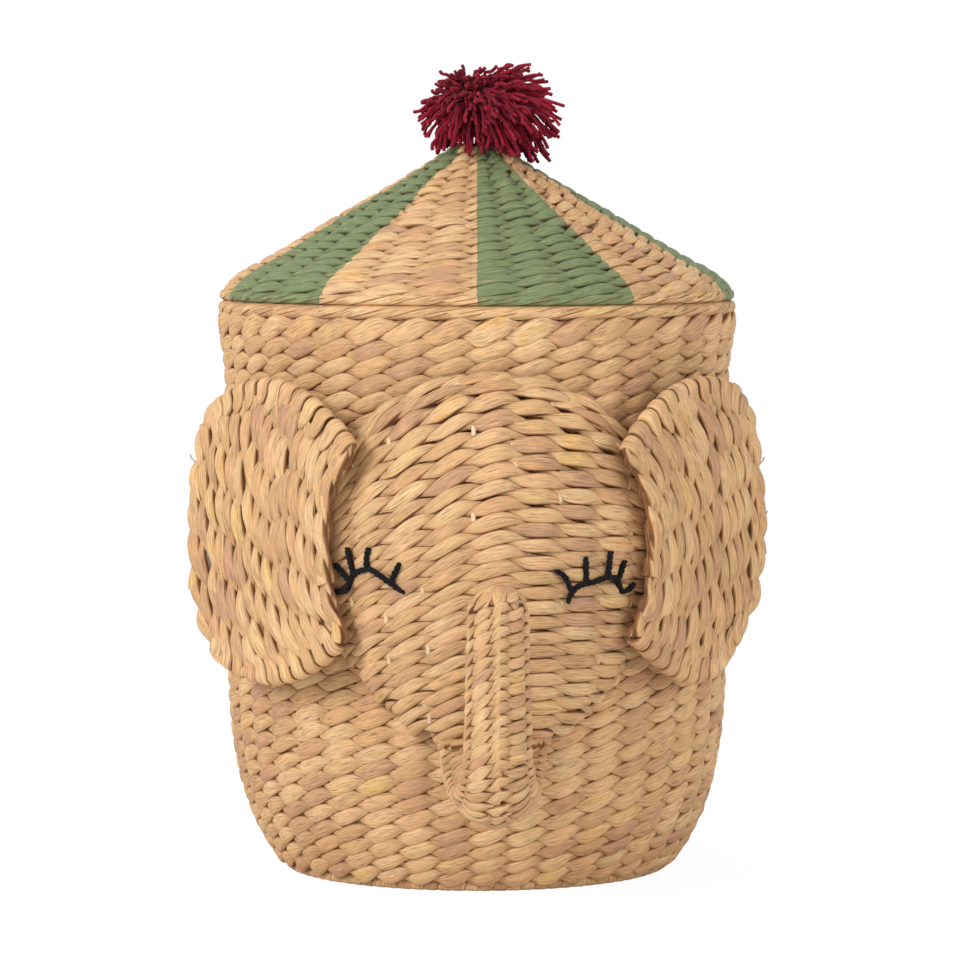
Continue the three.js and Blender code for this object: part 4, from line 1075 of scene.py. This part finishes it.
def ear_columns(outline, inner, outer):
    """The courses of an ear from its inner to its outer edge, as far as they lie inside its outline."""
    y = np.arange(outline[:, 1].min(), outline[:, 1].max(), 4.0)
    window = drawn_in(outline, 2.5)
    for k in range(EAR_COLUMNS):
        share = (k + 0.5) / EAR_COLUMNS
        before, x, after = (ear_fan(share + d / EAR_COLUMNS, y, inner, outer) for d in (-0.5, 0, 0.5))
        gap = (after - before) / np.hypot(1, np.gradient(x, y))
        held = np.flatnonzero(inside(window, np.stack([x, y], axis=1)))
        if len(held) > 7:
            kept = slice(held[0] + 1, held[-1])
            yield x[kept], y[kept], gap[kept]


def ear_fold(edge, inwards, onwards, reach):
    """The end of a course, folded over the rim wire: its points in the ear's own frame, how it is
    turned there, and its breadth. Its two arms run from square to the edge on along the courses."""
    half = EAR_THICKNESS / 2 - 2.5
    fold = np.linspace(-math.pi / 2, math.pi / 2, 9)
    steps = np.linspace(1, 0, 9)[:-1, None]
    lean = np.clip(steps * 1.4, 0, 1)
    arm = edge + inwards * half + reach * steps * unit(inwards * (1 - lean) + onwards * lean)
    over = edge + inwards * half * (1 - np.cos(fold))[:, None]
    flat = np.concatenate([arm, over, arm[::-1]])
    sunk = half - 2.6 * steps[:, 0] ** 2
    away = np.concatenate([sunk, -half * np.sin(fold), -sunk[::-1]])
    tilt = np.concatenate([np.full(8, -math.pi / 2), fold, np.full(8, math.pi / 2)])
    slim = 0.16 + 0.84 * np.sqrt(1 - steps[:, 0] ** 1.5)
    return flat, away, tilt, np.concatenate([slim, np.ones(9), slim[::-1]])


def ear(side, name):
    """An ear's upright courses, the folds over its rim wire, its edges and loose fibres."""
    steps = 8
    outline = through(EAR_OUTLINE[side], steps, looped=True)
    level = np.argsort(np.abs(outline[:, 1]))[:6]
    inner, outer = outline[level, 0].min(), outline[level, 0].max()
    along, up, away = ear_vectors(side)
    guides, loops = [], []
    chance = np.random.default_rng(31 + side)
    for k, (x, y, gap) in enumerate(ear_columns(outline, inner, outer)):
        points = ear_place(side, x + 0.8 * np.sin(y / 21 + k * 2.1), y, 0.0)
        turn = (y + 2 * np.sin(y / 33 + k)) / chance.uniform(*EAR_STITCH)
        guides += twined(points, away, turn + 0.3 * k + 0.3 * math.sin(2.4 * k), gap / EAR_COURSE)
        # A flat strand behind each gap between two courses
        if k < EAR_COLUMNS - 1:
            beside = ear_place(side, x + gap / 2, y, 0.0)[3:-3]
            guides += laid(beside, away, gap[3:-3] / 16, turn=k, thick=0.1)
    # Loops of strand, one beside the next, cover the rim wire along the top and the bottom.
    shares = np.linspace(0, 1, 60)
    for first, last, sign in ((0.05, 4.8, 1), (9.8, 13.95, -1)):
        picks = np.arange(round(first * steps), round(last * steps))
        edge = evenly(outline[picks], EAR_FOLD_WIDTH)
        edge = (edge[1:] + edge[:-1]) / 2
        heading = unit(np.gradient(edge, axis=0))
        for k, (point, ahead) in enumerate(zip(edge, heading)):
            inwards = np.array([ahead[1], -ahead[0]])
            share = np.interp(point[0], ear_fan(shares, point[1], inner, outer), shares)
            lean = ear_fan(share, point[1] - 5 * sign, inner, outer) - ear_fan(share, point[1], inner, outer)
            onwards = unit(np.array([lean, -5.0 * sign]))
            flat, depth, tilt, sizes = ear_fold(point, inwards, onwards, chance.uniform(13, 23))
            points = ear_place(side, flat[:, 0], flat[:, 1], depth)
            edgewards = -(along * inwards[0] + up * inwards[1])
            normal = edgewards * np.cos(tilt)[:, None] - away * np.sin(tilt)[:, None]
            loops += laid(points, normal, sizes * chance.uniform(0.94, 1.04), turn=k)
    # Strands run down the outer and the inner edge, over the ends of the courses.
    for first, last, size in ((4, 11, 0.78), (13.9, 19.4, 0.74)):
        edge = np.roll(drawn_in(outline, EAR_EDGE_INSET), -round(first * steps), axis=0)
        edge = evenly(edge[: round((last - first) * steps)], 4.0)
        guides += twined(ear_place(side, edge[:, 0], edge[:, 1], 0.0), away, np.arange(len(edge)) / 6.5, size)
    # A few fibres have come loose at the outer edge.
    for place in chance.uniform(5, 8, 3 if side > 0 else 1):
        start = outline[round(place * steps)]
        t = np.linspace(0, 1, 7)
        fibre = start[:, None] + np.array([-2 + 5 * t, 9 * t**1.6 + 1.5 * np.sin(5 * t)])
        loops += laid(ear_place(side, *fibre, 1.0 + 2 * t), away, 0.07 - 0.03 * t, turn=place, thick=0.17)
    sizes = sized(ROPE, reach=2.5, rise=2.3, half_depth=3.1, pinch=0.6, looseness=0.3, crease=0.8)
    piece_of(name + "_courses", guides, NATURAL, sizes, "basket", name + "_weave", 41 + side)
    sizes = sized(ROPE, half_width=EAR_FOLD_WIDTH * 0.49, half_depth=2.5, looseness=0.15, crease=0.6)
    sizes["Squareness"] = 0.85
    piece_of(name + "_folds", loops, NATURAL, sizes, "basket", name + "_weave", 51 + side)


def lashings(side, name):
    """Strand bound round the wire cross bars, which ties the ear to the wall behind it."""
    turns, steps, radius = 4, 14, 4.0
    angle = np.linspace(0, 2 * math.pi * turns, turns * steps + 1)
    depth = np.linspace(-19.0, -4.5, len(angle)) + 202 - EAR_REACH[side]
    along, up, _ = ear_vectors(side)
    normal = along * np.cos(angle)[:, None] + up * np.sin(angle)[:, None]
    narrow = sized(RIBBON, half_width=2.4, half_depth=1.1)
    for share, place in zip(EAR_TIE_SHARES, ("lower", "upper")):
        height = share * EAR_HEIGHT + radius * np.sin(angle)
        guides = laid(ear_place(side, radius * np.cos(angle), height, depth), normal)
        label = f"{name}_{place}_lashing"
        piece_of(label + "_wrap", guides, NATURAL, narrow, "basket", label, 61)


# The lid and its pom-pom


def lid():
    """The courses of the cone, from its edge to its top, painted in sectors."""
    length = len(LID_LINE) - 1
    pitches = [length / len(LID_STAKES)] * len(LID_STAKES)
    guides = twined(*course_run(LID_LINE, pitches, LID_STAKES, LID_THICKNESS))
    sizes = sized(ROPE, reach=2.2, rise=2.7, half_width=6.3, half_depth=3.2, looseness=0.3)
    piece_of("lid_courses", guides, PAINTED, sizes, "lid", "lid_weave", 71)


def floor_under(points):
    """The height at which yarn comes to lie on the lid."""
    radius = np.hypot(points[:, 0], points[:, 1])
    return np.interp(radius, LID_LINE[::-1, 0], LID_LINE[::-1, 1]) + 3.5


def pompom():
    """Cut lengths of yarn, tied at one point, that fan out and droop over the top of the lid."""
    chance = np.random.default_rng(8)
    guides = []
    middle, half, tie, up = (np.array(v, float) for v in (POMPOM_MIDDLE, POMPOM_HALF, POMPOM_TIE, (0, 0, 1)))
    for k in range(POMPOM_STRANDS):
        turn = chance.uniform(0, 2 * math.pi)
        rise = spread(-1, 0.95, chance.random() ** 1.2)
        level = math.sqrt(max(0, 1 - rise * rise))
        tip = middle + half * np.array([level * math.cos(turn), level * math.sin(turn), rise])
        tip = tie + (tip - tie) * chance.triangular(0.6, 1.0, 1.06) + chance.normal(0, 2.0, 3)
        tip[2] = max(tip[2], floor_under(tip[None])[0])
        across = tip - tie
        length = np.linalg.norm(across)
        heading = unit(across * (1, 1, 0.4))
        start = tie + chance.normal(0, 2.4, 3)
        # It leaves the tie outwards and up a little, droops by its weight and keeps its kinks.
        droop = min(1, max(0, 0.6 - rise))
        lead = start + heading * 0.4 * length + up * 0.18 * length
        fall = tip - heading * (0.3 - 0.16 * droop) * length + up * 0.2 * length * droop
        t = np.linspace(0, 1, 9)[:, None]
        curve = start * (1 - t) ** 3 + 3 * lead * t * (1 - t) ** 2 + 3 * fall * t**2 * (1 - t) + tip * t**3
        curve[1:] += chance.normal(0, 1.0, (8, 3))
        curve[1:, 2] = np.maximum(curve[1:, 2], floor_under(curve[1:]))
        curve = through(curve, 2)
        out = unit(np.cross(across, chance.normal(0, 1, 3)))
        swell = np.linspace(1, 1.12, len(curve))
        guides += laid(curve, out, swell, turn=k, thick=swell)
    sizes = sized(ROPE, half_width=1.15, half_depth=1.15, facets=6, crease=0.3, squareness=1.0)
    piece_of("pompom_yarn", guides, RED_YARN, sizes, "lid", "pompom", 81)


def tie():
    """The tie's knot under the apex, and the cord that goes up into the yarn."""
    count, windings = 80, 4
    cord = np.zeros((40, 3))
    cord[:, 2] = np.linspace(TIE_KNOT - 2, APEX + 18, 40)
    guides = twined(cord, [0, -1.0, 0], np.arange(40) / 3)
    angle = np.linspace(0, 2 * math.pi * windings, count)
    bulge = 4.6 + 2.4 * np.sin(np.linspace(0, math.pi, count))
    knot = polar(bulge, angle, np.linspace(TIE_KNOT - 5, TIE_KNOT + 5, count))
    guides += twined(knot, polar(1.0, angle, 0.0), np.arange(count) / 3)
    sizes = sized(ROPE, reach=0.7, rise=0.7, half_width=1.5, half_depth=1.5, facets=8)
    piece_of("tie_cord", guides, RED_YARN, sizes, "lid", "pompom_tie", 91)


# The studio


def studio():
    """A white floor that keeps the shadow, white surroundings and four soft lamps, in metres."""
    floor_mesh = bpy.data.meshes.new("floor")
    corners = [(-6, -6, 0), (6, -6, 0), (6, 6, 0), (-6, 6, 0)]
    floor_mesh.from_pydata(corners, [], [(0, 1, 2, 3)])
    floor = bpy.data.objects.new("floor", floor_mesh)
    bpy.context.scene.collection.objects.link(floor)
    material, add = plain_material("Pale studio floor")
    matt = add("ShaderNodeBsdfDiffuse", {"Color": (0.9, 0.9, 0.9, 1)})
    glow = add("ShaderNodeEmission", {"Color": (1, 1, 1, 1), "Strength": 1.05})
    seen = add("ShaderNodeLightPath").outputs["Is Camera Ray"]
    share = add("ShaderNodeMath", {0: seen, 1: 0.9}, operation="MULTIPLY")
    surface = add("ShaderNodeMixShader", {0: share, 1: matt, 2: glow})
    add("ShaderNodeOutputMaterial", {"Surface": surface})
    floor_mesh.materials.append(material)

    world = bpy.data.worlds.new("Studio")
    bpy.context.scene.world = world
    add = cleared(world)
    # The surroundings light the basket gently, and look white to the camera and in reflections.
    path = add("ShaderNodeLightPath").outputs
    lit, shown = (
        add("ShaderNodeBackground", {"Color": (1, 1, 1, 1), "Strength": strength}) for strength in (0.6, 1.0)
    )
    seen = add("ShaderNodeMath", {0: path["Is Camera Ray"], 1: path["Is Glossy Ray"]}, operation="MAXIMUM")
    mixed = add("ShaderNodeMixShader", {0: seen, 1: lit, 2: shown})
    add("ShaderNodeOutputWorld", {"Surface": mixed})

    lamps = [
        ("key", (-2.4, -2.1, 1.9), 1.2, 71),
        ("front", (0.3, -3.2, 0.3), 2.2, 8),
        ("right", (2.3, -2.4, 0.8), 1.8, 25),
        ("top", (-0.3, 0.2, 2.6), 2.0, 7),
    ]
    for name, place, size, power in lamps:
        lamp = bpy.data.lights.new(name, "AREA")
        lamp.shape = "DISK"
        lamp.size = size
        lamp.energy = power
        obj = bpy.data.objects.new(name, lamp)
        obj.location = place
        obj.rotation_euler = (Vector((0, 0, 0.3)) - Vector(place)).to_track_quat("-Z", "Y").to_euler()
        bpy.context.scene.collection.objects.link(obj)


def camera():
    """The camera, where the photo's was: a little above the middle, and turned a little to one side."""
    azimuth = math.radians(CAMERA_TURN)
    data = bpy.data.cameras.new("camera")
    data.sensor_width = 36
    data.lens = 36 * FOCAL_LENGTH / PHOTO_WIDTH
    obj = bpy.data.objects.new("camera", data)
    across, back = CAMERA_DISTANCE * math.sin(azimuth), CAMERA_DISTANCE * math.cos(azimuth)
    obj.location = (-across, -back, CAMERA_HEIGHT)
    turn = -azimuth - math.atan(AIM_OFFSET / FOCAL_LENGTH)
    obj.rotation_euler = (math.radians(90 - CAMERA_TILT), 0, turn)
    bpy.context.scene.collection.objects.link(obj)
    bpy.context.scene.camera = obj


camera()
studio()
wall()
bindings()
floor_mat()
face()
eyes()
trunk()
for ear_side, ear_name in ((-1, "left_ear"), (1, "right_ear")):
    ear(ear_side, ear_name)
    lashings(ear_side, ear_name)
lid()
pompom()
tie()
for node in ("basket_frame", "trunk_wire", "left_ear_frame", "right_ear_frame", "lid_frame"):
    wire_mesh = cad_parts[node].data
    wire_mesh.materials.clear()
    wire_mesh.materials.append(WIRE)

bpy.context.scene.view_settings.view_transform = "Standard"
